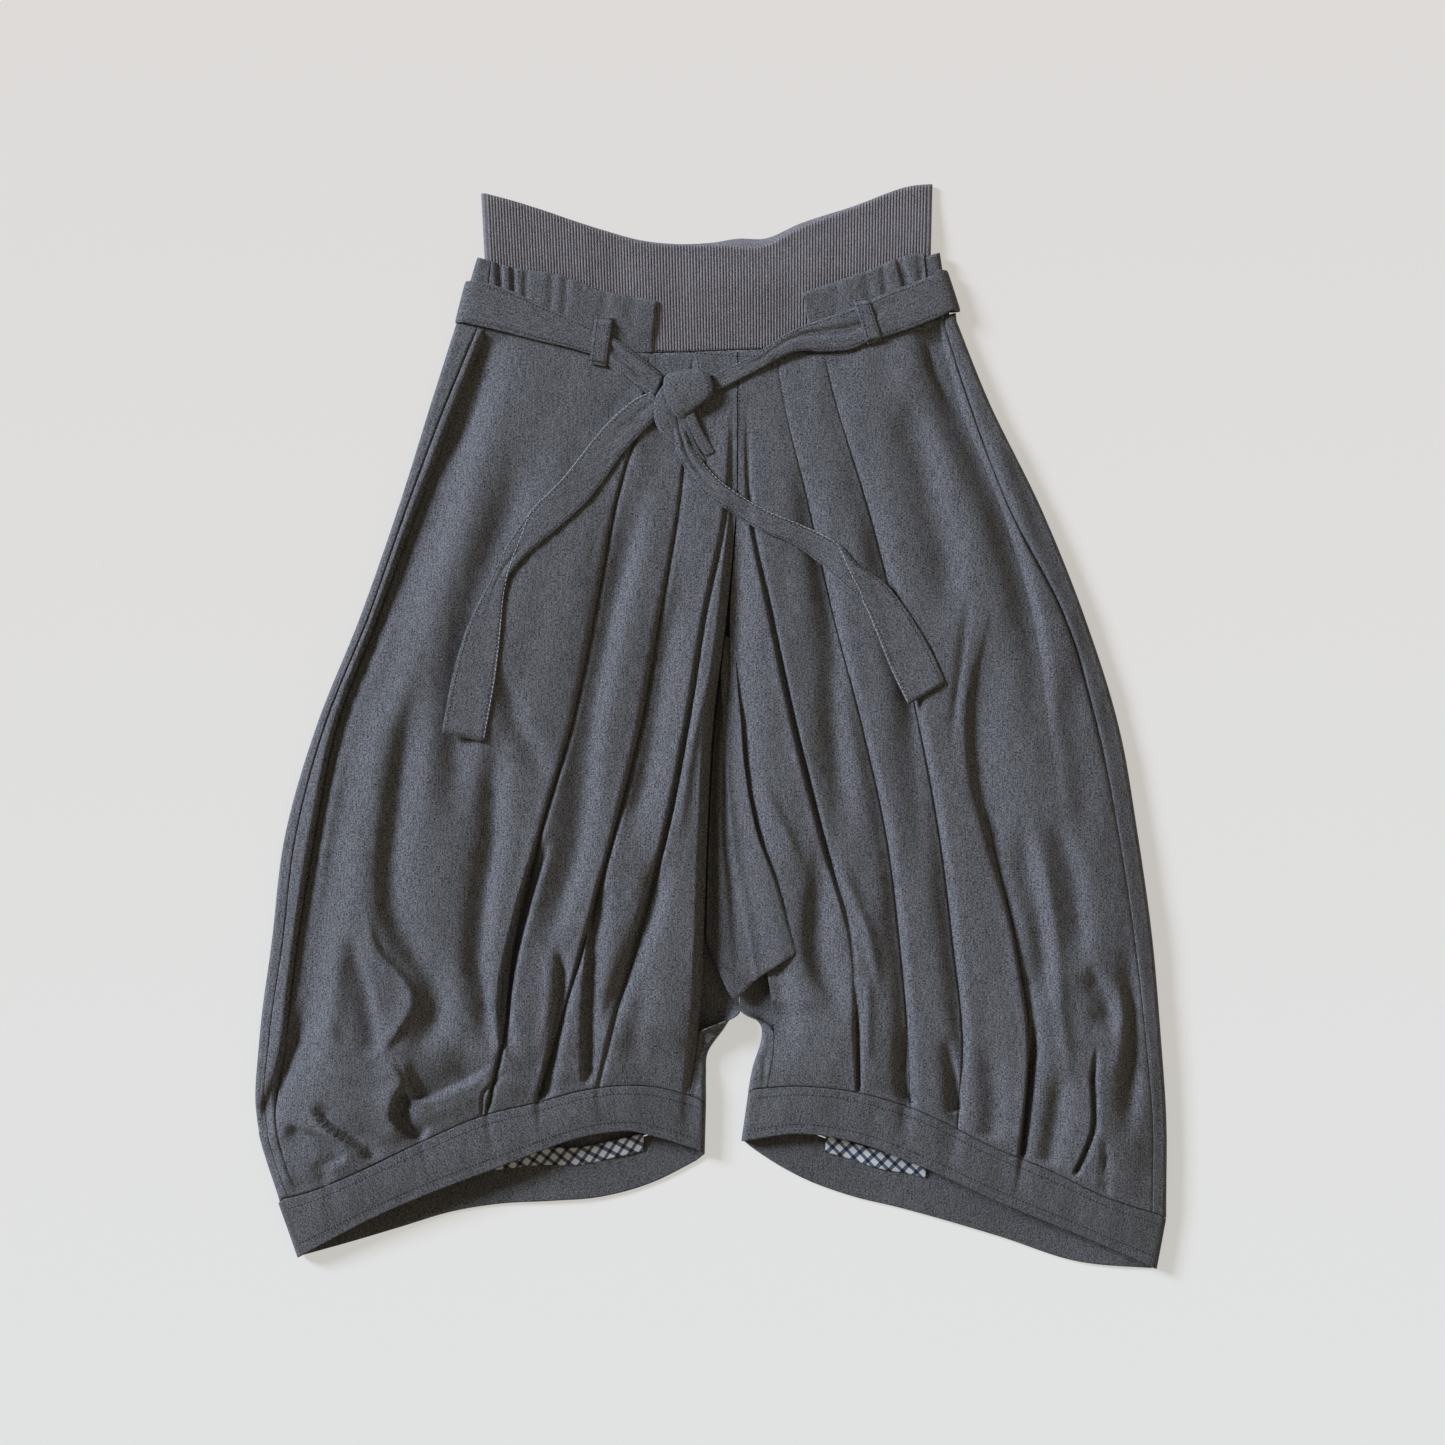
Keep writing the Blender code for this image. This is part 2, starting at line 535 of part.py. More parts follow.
def make_hem_band(leg, name):
    """The hem band, a flattened loop whose mouth stands open."""
    side = leg.side
    top_ends = [leg.hem_seam[i][0] for i in ((0, -1) if side < 0 else (-1, 0))]
    low_ends = [leg.front_hem[i][0] for i in ((0, -1) if side < 0 else (-1, 0))]
    turn = np.linspace(0, np.pi, 7)

    def station(row, end, inset, share):
        """x and y at a distance in from one end. share goes from the front layer to the back layer."""
        x_top = top_ends[end] + inset
        x_low = low_ends[end] + inset * (low_ends[1] - low_ends[0]) / (top_ends[1] - top_ends[0])
        y_top = (1 - share) * leg.hem_y(x_top) + share * leg.back_hem_y(x_top) - HEM_GAP * (0.5 + share)
        y_low = (1 - share) * curve(leg.front_hem, x_low) + share * curve(leg.back_hem, x_low)
        return x_top + row * (x_low - x_top), float(y_top + row * (y_low - y_top))

    start = -side * SIDE_RADIUS
    span = top_ends[1] - top_ends[0] - 2 * start
    grids = []
    for row in (0.0, 0.5, 1.0):
        points = []
        for f in np.linspace(0, 1, 27):
            x, y = station(row, 0, start + f * span, 0.0)
            x_seam, y_seam = station(0.0, 0, start + f * span, 0.0)
            seam_z = float(leg.height(x_seam, y_seam + HEM_GAP))
            open_z = SIDE_HEIGHT + (HEM_HEIGHT + HEM_MOUTH_RISE - SIDE_HEIGHT) * np.sin(np.pi * f) ** 0.7
            points.append((x, y, seam_z + row * (open_z - seam_z)))
        tall_outer, tall_inner = points[0][2], points[-1][2]
        for t in turn[1:-1]:
            x, y = station(row, 1, side * SIDE_RADIUS * (1 - np.sin(t)), t / np.pi)
            points.append((x, y, tall_inner / 2 * (1 + np.cos(t))))
        for f in np.linspace(1, 0, 13):
            x, y = station(row, 0, start + f * span, 1.0)
            points.append((x, y, 0.0))
        for t in turn[1:-1][::-1]:
            x, y = station(row, 0, -side * SIDE_RADIUS * (1 - np.sin(t)), t / np.pi)
            points.append((x, y, tall_outer / 2 * (1 + np.cos(t))))
        grids.append(points)
    outer = np.array(grids)
    inner = outer.copy()
    for r in range(outer.shape[0]):
        section = section_inside(outer[r, :, 0], outer[r, :, 2], BAND_CLOTH, -side, ring=True)
        inner[r, :, 0], inner[r, :, 2] = section
    return wall(name, outer, inner, woven, ring=True)


def make_binding(leg, name):
    """The narrow binding along the back seam allowance, on the inside of the hem band."""
    low, high = sorted((leg.back_hem[0][0], leg.back_hem[-1][0]))
    xs = np.linspace(low + BINDING_INSET, high - BINDING_INSET, 18)
    seam = leg.back_hem_y(xs) - HEM_GAP
    under = BAND_CLOTH + SEAM_GAP
    tops = np.full_like(xs, under + BINDING_CLOTH)
    outer = np.stack([np.stack([xs, y, tops], axis=1) for y in (seam, seam - BINDING_WIDTH)])
    return wall(name, outer, outer - np.array([0, 0, BINDING_CLOTH]), binding)


def make_rib():
    """The rib-knit waistband, a flattened tube with its ribs raised on the front over a plain inside."""
    radius = RIB_FOLD
    ribs = int((RIB_SIDES[0][1] - RIB_SIDES[0][0] - 2 * radius) / RIB_PITCH / 4) * 4
    front = np.linspace(0, 1, 2 * ribs + 1)
    turn = np.linspace(0, np.pi, 5)[1:-1]
    back = np.linspace(1, 0, 13)
    partners = list(range(0, 2 * ribs + 1, 8))
    outer, inside = [], []
    for row, rest in ((0, 0.0), (1, 1.0), (2, 1.0)):
        low = RIB_UNDER * rest
        high = low + RIB_TOP - RIB_UNDER
        left = RIB_SIDES[0][0] + row / 2 * (RIB_SIDES[1][0] - RIB_SIDES[0][0])
        right = RIB_SIDES[0][1] + row / 2 * (RIB_SIDES[1][1] - RIB_SIDES[0][1])
        span = right - left - 2 * radius

        def y_at(f, row=row, left=left, span=span):
            x = left + radius + f * span
            return (curve(RIB_TOP_EDGE, x), curve(WAIST_BACK_TOP, x) + RIB_REST, waist_y(x) + 1.0)[row]

        crest = np.where(np.arange(len(front)) % 2 == 1, 0.0, -RIB_RELIEF)
        points = [(left + radius + f * span, float(y_at(f)), high + c) for f, c in zip(front, crest)]
        plain = [(x, y, high - RIB_CLOTH) for x, y, _ in points]
        for end, f, sign in ((right, 1.0, 1), (left, 0.0, -1)):
            angles = turn if sign > 0 else turn[::-1]
            for t in angles:
                x = end - sign * radius * (1 - np.sin(t))
                points.append((x, float(y_at(f)), low + (high - low) / 2 * (1 + np.cos(t))))
                shrink = RIB_CLOTH * 0.85
                plain.append((end - sign * (radius + (shrink - radius) * np.sin(t)), float(y_at(f)),
                              low + (high - low) / 2 + ((high - low) / 2 - shrink) * np.cos(t)))
            if sign > 0:
                for f_back in back:
                    x, y = left + radius + f_back * span, float(y_at(f_back))
                    points.append((x, y, low))
                    plain.append((x, y, low + RIB_CLOTH * 0.8))
        outer.append(points)
        inside.append(plain)
    outer, inside = np.array(outer), np.array(inside)
    partners += list(range(2 * ribs + 1, outer.shape[1]))
    return ribbed_ring("rib_waistband", outer, inside[:, partners], partners, rib)


def ribbed_ring(name, outer, inner, partners, material):
    """Ring wall whose inner grid has a column only at the outer columns named in partners."""
    rows, cols = outer.shape[:2]
    few = inner.shape[1]
    half = rows * cols
    faces = []
    for r in range(rows - 1):
        for c in range(cols):
            a, b = r * cols + c, r * cols + (c + 1) % cols
            faces += [(a, a + cols, b + cols), (a, b + cols, b)]
        for c in range(few):
            a, b = half + r * few + c, half + r * few + (c + 1) % few
            faces += [(a, b + few, a + few), (a, b, b + few)]
    ends = ((0, half, False), ((rows - 1) * cols, half + (rows - 1) * few, True))
    for row_start, row_inner, flip in ends:
        for k in range(few):
            first = partners[k]
            last = partners[(k + 1) % few]
            run = list(range(first, last + 1)) if last > first else [first, last]
            middle = len(run) // 2
            fan = [(run[i], run[i + 1], k) for i in range(middle)]
            near, far = row_inner + k, row_inner + (k + 1) % few
            tris = [(row_start + a, row_start + b, near) for a, b, _ in fan]
            tris.append((row_start + run[middle], far, near))
            tris += [(row_start + run[i], row_start + run[i + 1], far) for i in range(middle, len(run) - 1)]
            faces += [t[::-1] for t in tris] if flip else tris
    vertices = np.concatenate([outer.reshape(-1, 3), inner.reshape(-1, 3)])
    return solid(name, vertices, faces, material)


def gather(x, y, gathers):
    """Small upright ripples where the woven waistband is gathered."""
    rise = np.full(np.shape(x), max(depth for _, depth in gathers))
    for at, depth in gathers:
        rise = rise - depth * np.exp(-((x - at - 0.12 * (y - 310)) / GATHER_WIDTH) ** 2)
    return rise


def make_waist_front(name, side):
    """One front half of the woven outer waistband, from the side seam to its end near the centre."""
    top = LEFT_WAIST_TOP if side < 0 else RIGHT_WAIST_TOP
    end = LEFT_WAIST_END if side < 0 else RIGHT_WAIST_END
    seam = WAIST_SIDE_SEAM[0 if side < 0 else 1]
    gathers = LEFT_GATHERS if side < 0 else RIGHT_GATHERS
    across = np.linspace(0, 1, 20)
    grid = np.zeros((4, len(across), 3))
    for c, f in enumerate(across):
        def x_at(y, f=f):
            start = curve(seam, y) - side * SEAM_GAP / 2
            return start + f * (curve(end, y) - start)
        y_top, y_low = BAND_TOP_LEVEL, WAIST_LEVEL
        for _ in range(8):
            y_top = float(curve(top, x_at(y_top)))
            y_low = float(waist_y(x_at(y_low))) + SEAM_GAP / 2
        y = y_top + (y_low - y_top) * np.array([0, 0.3, 0.65, 1])
        x = x_at(y)
        flatten = ease((y - y_low) / 14)
        grid[:, c] = np.stack([x, y, WAIST_FRONT_TOP + flatten * gather(x, y, gathers)], axis=1)
    if side > 0:
        grid = grid[:, ::-1]
    return wall(name, grid, grid - np.array([0, 0, WAIST_CLOTH]), woven)


def make_waist_back():
    """The back of the woven waistband, wrapped over both sides to the side seams."""
    turn = np.linspace(0, np.pi, 7)
    middle = (WAIST_FRONT_TOP + WAIST_BACK_UNDER) / 2
    half = WAIST_FRONT_TOP - middle

    def edge_x(side, t, y):
        sign = (-1, 1)[side]
        return curve(WAIST_OUTLINE[side], y) - sign * WAIST_FOLD * (1 - np.sin(t))

    columns = [(lambda y: curve(WAIST_SIDE_SEAM[0], y) - SEAM_GAP / 2, WAIST_FRONT_TOP)]
    columns += [(lambda y, t=t: edge_x(0, t, y), middle + half * np.cos(t)) for t in turn]
    columns += [(lambda y, f=f: edge_x(0, 0, y) * (1 - f) + edge_x(1, 0, y) * f, WAIST_BACK_UNDER)
                for f in np.linspace(0, 1, 14)[1:-1]]
    columns += [(lambda y, t=t: edge_x(1, t, y), middle + half * np.cos(t)) for t in turn[::-1]]
    columns += [(lambda y: curve(WAIST_SIDE_SEAM[1], y) + SEAM_GAP / 2, WAIST_FRONT_TOP)]
    outer = np.zeros((4, len(columns), 3))
    for c, (x_at, z) in enumerate(columns):
        y_top, y_low = BAND_TOP_LEVEL, WAIST_LEVEL
        for _ in range(10):
            y_top = float(curve(WAIST_BACK_TOP, x_at(y_top)))
            y_low = float(waist_y(x_at(y_low))) + SEAM_GAP + 0.15
        y = y_top + (y_low - y_top) * np.array([0, 0.35, 0.7, 1])
        outer[:, c] = np.stack([x_at(y), y, np.full(4, z)], axis=1)
    inner = outer.copy()
    for r in range(4):
        inner[r, :, 0], inner[r, :, 2] = section_inside(outer[r, :, 0], outer[r, :, 2], WAIST_CLOTH, -1)
    return wall("waistband_back", outer, inner, woven)


def on_top(x, y):
    """Highest level of the leg fronts, waistbands and rib near a point."""
    best = np.full(np.shape(x), RIB_TOP + 0.0)
    for dx in (-8, -4, 0, 4, 8):
        for dy in (-10, 0, 10):
            px, py = np.asarray(x, float) + dx, np.asarray(y, float) + dy
            split = by_level(LEFT.centre.x, py)
            cloth = np.where(px < split, LEFT.height(px, py), RIGHT.height(px, py))
            waist = WAIST_FRONT_TOP + max(depth for _, depth in LEFT_GATHERS + RIGHT_GATHERS) + 0.1
            best = np.maximum(best, np.where(py > waist_y(px) - 3, waist, cloth))
    return best


def strap_wall(name, straps):
    """A belt tail laid over what is under it: its edges follow the stations."""
    fine = smooth_straps(straps, 3)
    upper = np.array([s.upper for s in fine])
    lower = np.array([s.lower for s in fine])
    grid = np.zeros((3, len(fine), 3))
    for r, f in enumerate((0.0, 0.5, 1.0)):
        grid[r, :, :2] = upper * (1 - f) + lower * f
    level = np.max([on_top(grid[r, :, 0], grid[r, :, 1]) for r in range(3)], axis=0)
    grid[:, :, 2] = smooth_level(level) + REST_GAP + BELT_CLOTH
    return wall(name, grid, grid - np.array([0, 0, BELT_CLOTH]), woven)


def smooth_level(level):
    """Heights along a strap, with each dip lifted to the mean of its neighbours."""
    padded = np.concatenate([[level[0]], level, [level[-1]]])
    return np.maximum(level, (padded[:-2] + padded[2:]) / 2)


def make_belt():
    """The belt, one strap from the knot round the back to the knot. Gives the points of its outer face."""
    left = smooth_straps(BELT_LEFT, 2)
    right = smooth_straps(BELT_RIGHT, 2)
    outer, inner = [], []

    def add(up, low, z, normal):
        row_out, row_in = [], []
        for f in (0.0, 0.5, 1.0):
            x = up[0] * (1 - f) + low[0] * f
            y = up[1] * (1 - f) + low[1] * f
            row_out.append((x, y, z))
            row_in.append((x + normal[0] * BELT_CLOTH, y, z + normal[1] * BELT_CLOTH))
        outer.append(row_out)
        inner.append(row_in)

    def front_level(up, low):
        xs = np.array([up[0], (up[0] + low[0]) / 2, low[0]])
        ys = np.array([up[1], (up[1] + low[1]) / 2, low[1]])
        return float(np.max(on_top(xs, ys))) + REST_GAP + BELT_CLOTH

    levels = {}
    for key, straps in (("left", left), ("right", right)):
        levels[key] = smooth_level(np.array([front_level(s.upper, s.lower) for s in straps]))
    for strap, z in zip(left, levels["left"]):
        add(strap.upper, strap.lower, z, (0, -1))
    turn = np.linspace(0, np.pi, 7)[1:-1]
    folds = ((BELT_SIDES[0], -1, levels["left"][-1]), (BELT_SIDES[1], 1, levels["right"][0]))
    for ((up, low), sign, tall), order in zip(folds, (1, -1)):
        rows = []
        for t in turn:
            shift = -sign * BELT_FOLD * (1 - np.sin(t))
            z = tall / 2 * (1 + np.cos(t))
            normal = (-sign * np.sin(t), -np.cos(t))
            rows.append(((up[0] + shift, up[1]), (low[0] + shift, low[1]), z, normal))
        for row in rows[::order]:
            add(*row)
        if sign < 0:
            for f in np.linspace(0, 1, 9):
                sag = np.array([0, 4 * BELT_BACK_SAG * f * (1 - f)])
                flat = [(1 - f) * np.array(a) + f * np.array(b) - sag for a, b in zip(*BELT_BACK)]
                add(flat[0], flat[1], 0.0, (0, 1))
    for strap, z in zip(right, levels["right"]):
        add(strap.upper, strap.lower, z, (0, -1))
    outer_grid = np.array(outer).transpose(1, 0, 2)
    inner_grid = np.array(inner).transpose(1, 0, 2)
    wall("belt_round", outer_grid, inner_grid, woven)
    return outer_grid.reshape(-1, 3)


def smooth_straps(straps, steps):
    """The same strap with more stations along it."""
    at = np.linspace(0, len(straps) - 1, (len(straps) - 1) * steps + 1)
    made = []
    for edge in ("upper", "lower"):
        points = [getattr(s, edge) for s in straps]
        made.append([curve(list(enumerate(p[axis] for p in points)), at) for axis in (0, 1)])
    return [Strap((made[0][0][i], made[0][1][i]), (made[1][0][i], made[1][1][i])) for i in range(len(at))]


def make_knot():
    """The knot: a rounded lump with a groove beside its wrap."""
    rings = (0.0, 0.35, 0.62, 0.84, 0.97)
    around = np.linspace(0, 2 * np.pi, 22, endpoint=False)
    vertices = []
    base = float(np.max(on_top(np.array([KNOT_CENTRE[0]]), np.array([KNOT_CENTRE[1]])))) + REST_GAP
    for upper in (True, False):
        for ring in rings[1:]:
            for a in around:
                u = ring * KNOT_SIZE[0] * np.sign(np.cos(a)) * abs(np.cos(a)) ** 0.8
                v = ring * KNOT_SIZE[1] * np.sign(np.sin(a)) * abs(np.sin(a)) ** 0.8
                x = KNOT_CENTRE[0] + u * np.cos(KNOT_TILT) - v * np.sin(KNOT_TILT)
                y = KNOT_CENTRE[1] + u * np.sin(KNOT_TILT) + v * np.cos(KNOT_TILT)
                tall = KNOT_HEIGHT * (1 - ring ** 3) ** 0.5
                at, width, depth = KNOT_GROOVE
                groove = depth * np.exp(-((u - at) / width) ** 2)
                z = base + KNOT_EDGE + tall - groove if upper else base
                vertices.append((x, y, z))
    top_middle = len(vertices)
    vertices.append((KNOT_CENTRE[0], KNOT_CENTRE[1], base + KNOT_EDGE + KNOT_HEIGHT))
    vertices.append((KNOT_CENTRE[0], KNOT_CENTRE[1], base))
    n = len(around)
    per_side = n * (len(rings) - 1)
    faces = []
    for s in (0, 1):
        start = s * per_side
        for k in range(n):
            m = (k + 1) % n
            faces.append((start + k, start + m, top_middle + s))
            for ring in range(len(rings) - 2):
                a, b = start + ring * n + k, start + ring * n + m
                faces.append((a, a + n, b + n, b))
    outer_ring = n * (len(rings) - 2)
    for k in range(n):
        m = (k + 1) % n
        faces.append((outer_ring + k, outer_ring + m, per_side + outer_ring + m, per_side + outer_ring + k))
    return solid("belt_knot", vertices, faces, woven)


def make_loop(name, ends, raised):
    """A belt loop: sewn down at both ends, and raised over the belt between the shares named in raised."""
    start, stop = raised
    shares = (0.0, start - 0.1, start, (start + stop) / 2, stop, stop + 0.07, 1.0)
    grid = np.zeros((len(shares), 2, 3))
    for r, f in enumerate(shares):
        for c, edge in enumerate(("upper", "lower")):
            a, b = getattr(ends[0], edge), getattr(ends[1], edge)
            grid[r, c, :2] = np.array(a) * (1 - f) + np.array(b) * f
        grid[r, :, 2] = np.max(on_top(grid[r, :, 0], grid[r, :, 1])) + REST_GAP + WAIST_CLOTH
    middle = grid[3].mean(axis=0)
    near = np.hypot(belt_top[:, 0] - middle[0], belt_top[:, 1] - middle[1]) < BELT_WIDTH
    grid[2:5, :, 2] = belt_top[near, 2].max() + REST_GAP + WAIST_CLOTH
    return wall(name, grid, grid - np.array([0, 0, WAIST_CLOTH]), woven)


def make_crotch():
    """The crotch piece, folded down between the legs over their inner edges."""
    across = np.array([0, 0.12, 0.25, 0.4, 0.55, 0.7, 0.85, 1.0])
    down = np.array([0, 0.1, 0.22, 0.35, 0.48, 0.6, 0.72, 0.82, 0.92, 1.0])

    def along(points, t):
        at = np.linspace(0, 1, len(points))
        return np.array([curve(list(zip(at, [p[axis] for p in points])), t) for axis in (0, 1)])

    grid = np.zeros((len(down), len(across), 3))
    corner_points = (CROTCH_LEFT[0], CROTCH_RIGHT[0], CROTCH_LEFT[-1], CROTCH_RIGHT[-1])
    corners = [np.array(p, float) for p in corner_points]
    for r, w in enumerate(down):
        for c, s in enumerate(across):
            top = np.array(CROTCH_LEFT[0]) * (1 - s) + np.array(CROTCH_RIGHT[0]) * s
            sides = along(CROTCH_LEFT, w) * (1 - s) + along(CROTCH_RIGHT, w) * s
            ends = top * (1 - w) + along(CROTCH_BOTTOM, s) * w
            flat = ((1 - s) * (1 - w) * corners[0] + s * (1 - w) * corners[1]
                    + (1 - s) * w * corners[2] + s * w * corners[3])
            x, y = sides + ends - flat
            low = CROTCH_FLOOR + CROTCH_RISE * ease(s / 0.3) * ease((w + 0.15) * 2)
            near = 0.0
            for dx in (-9, -5, 0, 5, 9):
                for dy in (-12, 0, 12):
                    if x + dx > float(by_level(RIGHT.centre.x, y + dy)) - 1:
                        near = max(near, float(RIGHT.height(x + dx, y + dy)) + CROTCH_LIFT)
            grid[r, c] = (x, y, max(low, near))
    return wall("crotch_piece", grid, grid - np.array([0, 0, CLOTH]), woven)


def principled(name, colour, roughness):
    material = bpy.data.materials.new(name)
    material.use_nodes = True
    shader = material.node_tree.nodes["Principled BSDF"]
    shader.inputs["Base Color"].default_value = colour
    shader.inputs["Roughness"].default_value = roughness
    shader.inputs["Metallic"].default_value = 0.0
    return material


for old in list(bpy.data.objects):
    bpy.data.objects.remove(old, do_unlink=True)

garment = bpy.data.collections.new("capri pants")
bpy.context.scene.collection.children.link(garment)
woven = principled("woven wool", COLOURS["woven"], 0.9)
rib = principled("rib knit", COLOURS["rib"], 0.95)
binding = principled("seam binding", COLOURS["binding"], 0.85)

make_rib()
make_waist_front("waistband_front_left", -1)
make_waist_front("waistband_front_right", 1)
make_waist_back()
for leg, word in ((LEFT, "left"), (RIGHT, "right")):
    make_leg_front(leg, "leg_front_" + word)
    make_leg_back(leg, "leg_back_" + word)
    make_hem_band(leg, "hem_band_" + word)
    make_binding(leg, "seam_binding_" + word)
make_crotch()
belt_top = make_belt()
make_knot()
strap_wall("belt_tail_left", TAIL_LEFT)
strap_wall("belt_tail_right", TAIL_RIGHT)
make_loop("belt_loop_left", LOOP_LEFT, LOOP_LEFT_RAISED)
make_loop("belt_loop_right", LOOP_RIGHT, LOOP_RIGHT_RAISED)
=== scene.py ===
"""Looks of the pleated drop-crotch capri pants, laid flat and seen from straight above.

The garment's own form is worked out in millimetres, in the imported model's frame. Paths of folds and edges
are read in the photograph's pixels, 1445 to a side, and `spot` turns them into millimetres.
"""
import math
from collections import namedtuple

import bmesh
import bpy
import numpy as np
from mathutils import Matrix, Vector


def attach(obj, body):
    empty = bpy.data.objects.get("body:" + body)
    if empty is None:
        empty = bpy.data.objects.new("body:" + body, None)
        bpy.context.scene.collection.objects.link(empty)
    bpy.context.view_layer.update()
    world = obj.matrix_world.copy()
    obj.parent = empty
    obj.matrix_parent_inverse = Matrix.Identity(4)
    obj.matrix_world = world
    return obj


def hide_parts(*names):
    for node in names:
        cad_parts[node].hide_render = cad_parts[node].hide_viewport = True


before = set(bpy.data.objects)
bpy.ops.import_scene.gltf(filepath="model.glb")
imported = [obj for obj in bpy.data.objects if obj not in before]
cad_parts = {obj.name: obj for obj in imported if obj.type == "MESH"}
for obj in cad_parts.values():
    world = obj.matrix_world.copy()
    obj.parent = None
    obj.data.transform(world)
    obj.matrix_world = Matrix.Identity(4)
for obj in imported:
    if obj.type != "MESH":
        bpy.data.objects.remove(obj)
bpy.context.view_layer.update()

MM = 0.001
PIXEL = 0.735
PHOTO_SIDE = 1445
FRAME_CENTRE = (711.5, 726.5)

# Cloth and heights, in millimetres, as in the solids
CLOTH = 0.9
BAND_CLOTH = 1.6
SEAM_GAP = 0.3
HEM_GAP = 0.5
HEM_BAND_DEPTH = 36.7
WAIST_BACK_UNDER = 2.0
RIB_UNDER = 3.6
RIB_TOP = 8.2
WAIST_FRONT_TOP = 9.9
SIDE_HEIGHT = 9.9
LEG_HEIGHT = 22.0
HEM_HEIGHT = 15.0
LOWEST_TOP = 4.2
SIDE_RADIUS = 4.5
SIDE_REACH = 60.0
WAIST_REACH = 230.0
HEM_REACH = 48.0
CROTCH = (20.5, -203.0)
CROTCH_ROLL = 24.0
CROTCH_WRAP = 5.0
BINDING_CLOTH = 0.7
THREAD_LIFT = 0.06

# The open centre of the woven waistband, over which the legs' tops are as low as the rib
OPENING_MIDDLE = 14.0
OPENING_HALF = 52.0
OPENING_SLOPE = 16.0

# The share of the folds' depth that is left at the hem seam, and the cloth's rise and sink beside that seam
FOLDS_AT_HEM = 0.45
HEM_PUFF = 1.4
HEM_SINK = 0.5

# Heights at which the search for an edge starts
NEAR_WAIST_TOP = 335.0
NEAR_WAIST = 280.0
NEAR_HEM = -300.0

# How often the gingham comes round, in metres
CHECK_REPEAT = 0.0072

# The thin slit along a pleat's line, which only narrow folds have, and the lip beside it
SLIT_DEPTH = 1.6
SLIT_REACH = 0.7
SLIT_FLOOR = 0.5
LIP_AWAY = 4.5
LIP_REACH = 2.6

# Heights up the garment at which the tables of lines give their x
LEVELS = (300, 240, 160, 80, 0, -80, -160, -230, -290, -350)

# Pleats and long folds. left and right are how far the slopes reach, floor half the width of the bottom,
# lip how high the upper layer's edge stands beside the steep slope. The mesh has a column along every line,
# and the outer drape does nothing else.
Fold = namedtuple("Fold", "name x depth left right floor lip")
LEFT_LINES = (
    Fold("side seam", (-169, -194, -224, -252, -284, -305, -315, -325, -328, -310),
         (0.9, 0.9, 0.9, 0.9, 0.9, 0.6, 0.4, 0.3, 0.2, 0.2), 0.8, 1.0, 0, 0),
    Fold("side ridge", (-163, -186, -217, -246, -276, -292, -305, -313, -320, -302),
         (5.5, 7, 8, 8, 8, 8, 6.5, 4, 1.5, 0), 0.8, 19, 0.4, 0.5),
    Fold("outer drape", (-144, -152, -170, -200, -223, -237, -239, -229, -225, -222),
         (0,) * len(LEVELS), 1, 1, 0, 0),
    Fold("pleat 1", (-42, -50, -71, -86, -103, -126, -144, -153, -166, -170),
         (0, 1.0, 2.2, 2.2, 2.6, 4.5, 6, 5, 3, 0), 0.9, 2.4, 0.2, 0.5),
    Fold("pleat 2", (-12, -16, -24, -38, -52, -72, -94, -114, -132, -141),
         (0, 0.8, 1.6, 2.4, 3.6, 4.6, 3.6, 3.4, 3, 1), 1.1, 2.6, 0.2, 0.5),
    Fold("pleat 3", (17, 15, 11, -5, -18, -34, -56, -75, -88, -95),
         (0, 0, 2.4, 3.6, 5, 6.5, 5, 3, 2, 1), 1.1, 1.8, 0.6, 0.6),
    Fold("centre valley", (19, 19, 18, 11, 1, -3, -6, -10, -19, -23),
         (0, 0, 4, 8, 11, 12, 9, 4, 2, 0), 2, 4, 3.0, 0.3),
)
RIGHT_LINES = (
    Fold("centre valley", (19.5, 19.5, 18.8, 13.5, 16, 22, 37, 46, 37, 33),
         (0, 0, 4, 8, 10, 10, 8, 2, 0, 0), 5, 12, 2, 0),
    Fold("pleat 1", (24, 26, 28.5, 44, 61, 81, 103, 105, 109, 111),
         (0, 0, 3, 5, 6.5, 6.5, 1.5, 1, 0, 0), 1.2, 1.8, 0.6, 0.6),
    Fold("pleat 2", (43, 53, 72, 90, 110.5, 128, 138, 144, 147, 149),
         (0.4, 0.8, 2.0, 3.0, 4.0, 4.6, 5, 4.6, 3.4, 2), 8, 3.4, 0, 0),
    Fold("pleat 3", (77, 91, 115, 135.5, 152.5, 167, 177, 184, 181, 179),
         (0.4, 1.2, 2.6, 3.6, 4.2, 5.0, 5.8, 5, 3.4, 2), 9, 3.4, 0, 0),
    Fold("pleat 4", (140, 158, 184, 203, 191.5, 205, 223, 233, 230, 225),
         (0, 0, 0, 0, 0, 1.2, 4, 6, 4, 2), 1.2, 6.5, 0.3, 0.5),
    Fold("side valley", (162, 180, 212, 235, 246, 258, 275, 280, 276, 260),
         (7, 8.5, 8.5, 6.5, 3, 0.5, 0, 0, 0, 0), 15, 5, 0.6, 0),
    Fold("side seam", (170, 189, 219, 259, 283, 299, 311, 319, 324, 324),
         (0.8, 1.2, 1.6, 1.6, 1.0, 0.4, 0.3, 0.3, 0.3, 0.2), 1.6, 1.8, 0, 0),
)

# Columns of the mesh between each line and the next, and the legs' outer sides
LEFT_BETWEEN = (8, 44, 56, 34, 26, 38)
RIGHT_BETWEEN = (46, 34, 30, 34, 36, 26)
LEFT_OUTLINE = (-187, -206, -231, -259, -291, -314, -324, -333, -335, -318)
RIGHT_OUTLINE = (180, 204, 243, 275, 300, 314, 325, 331, 335, 335)

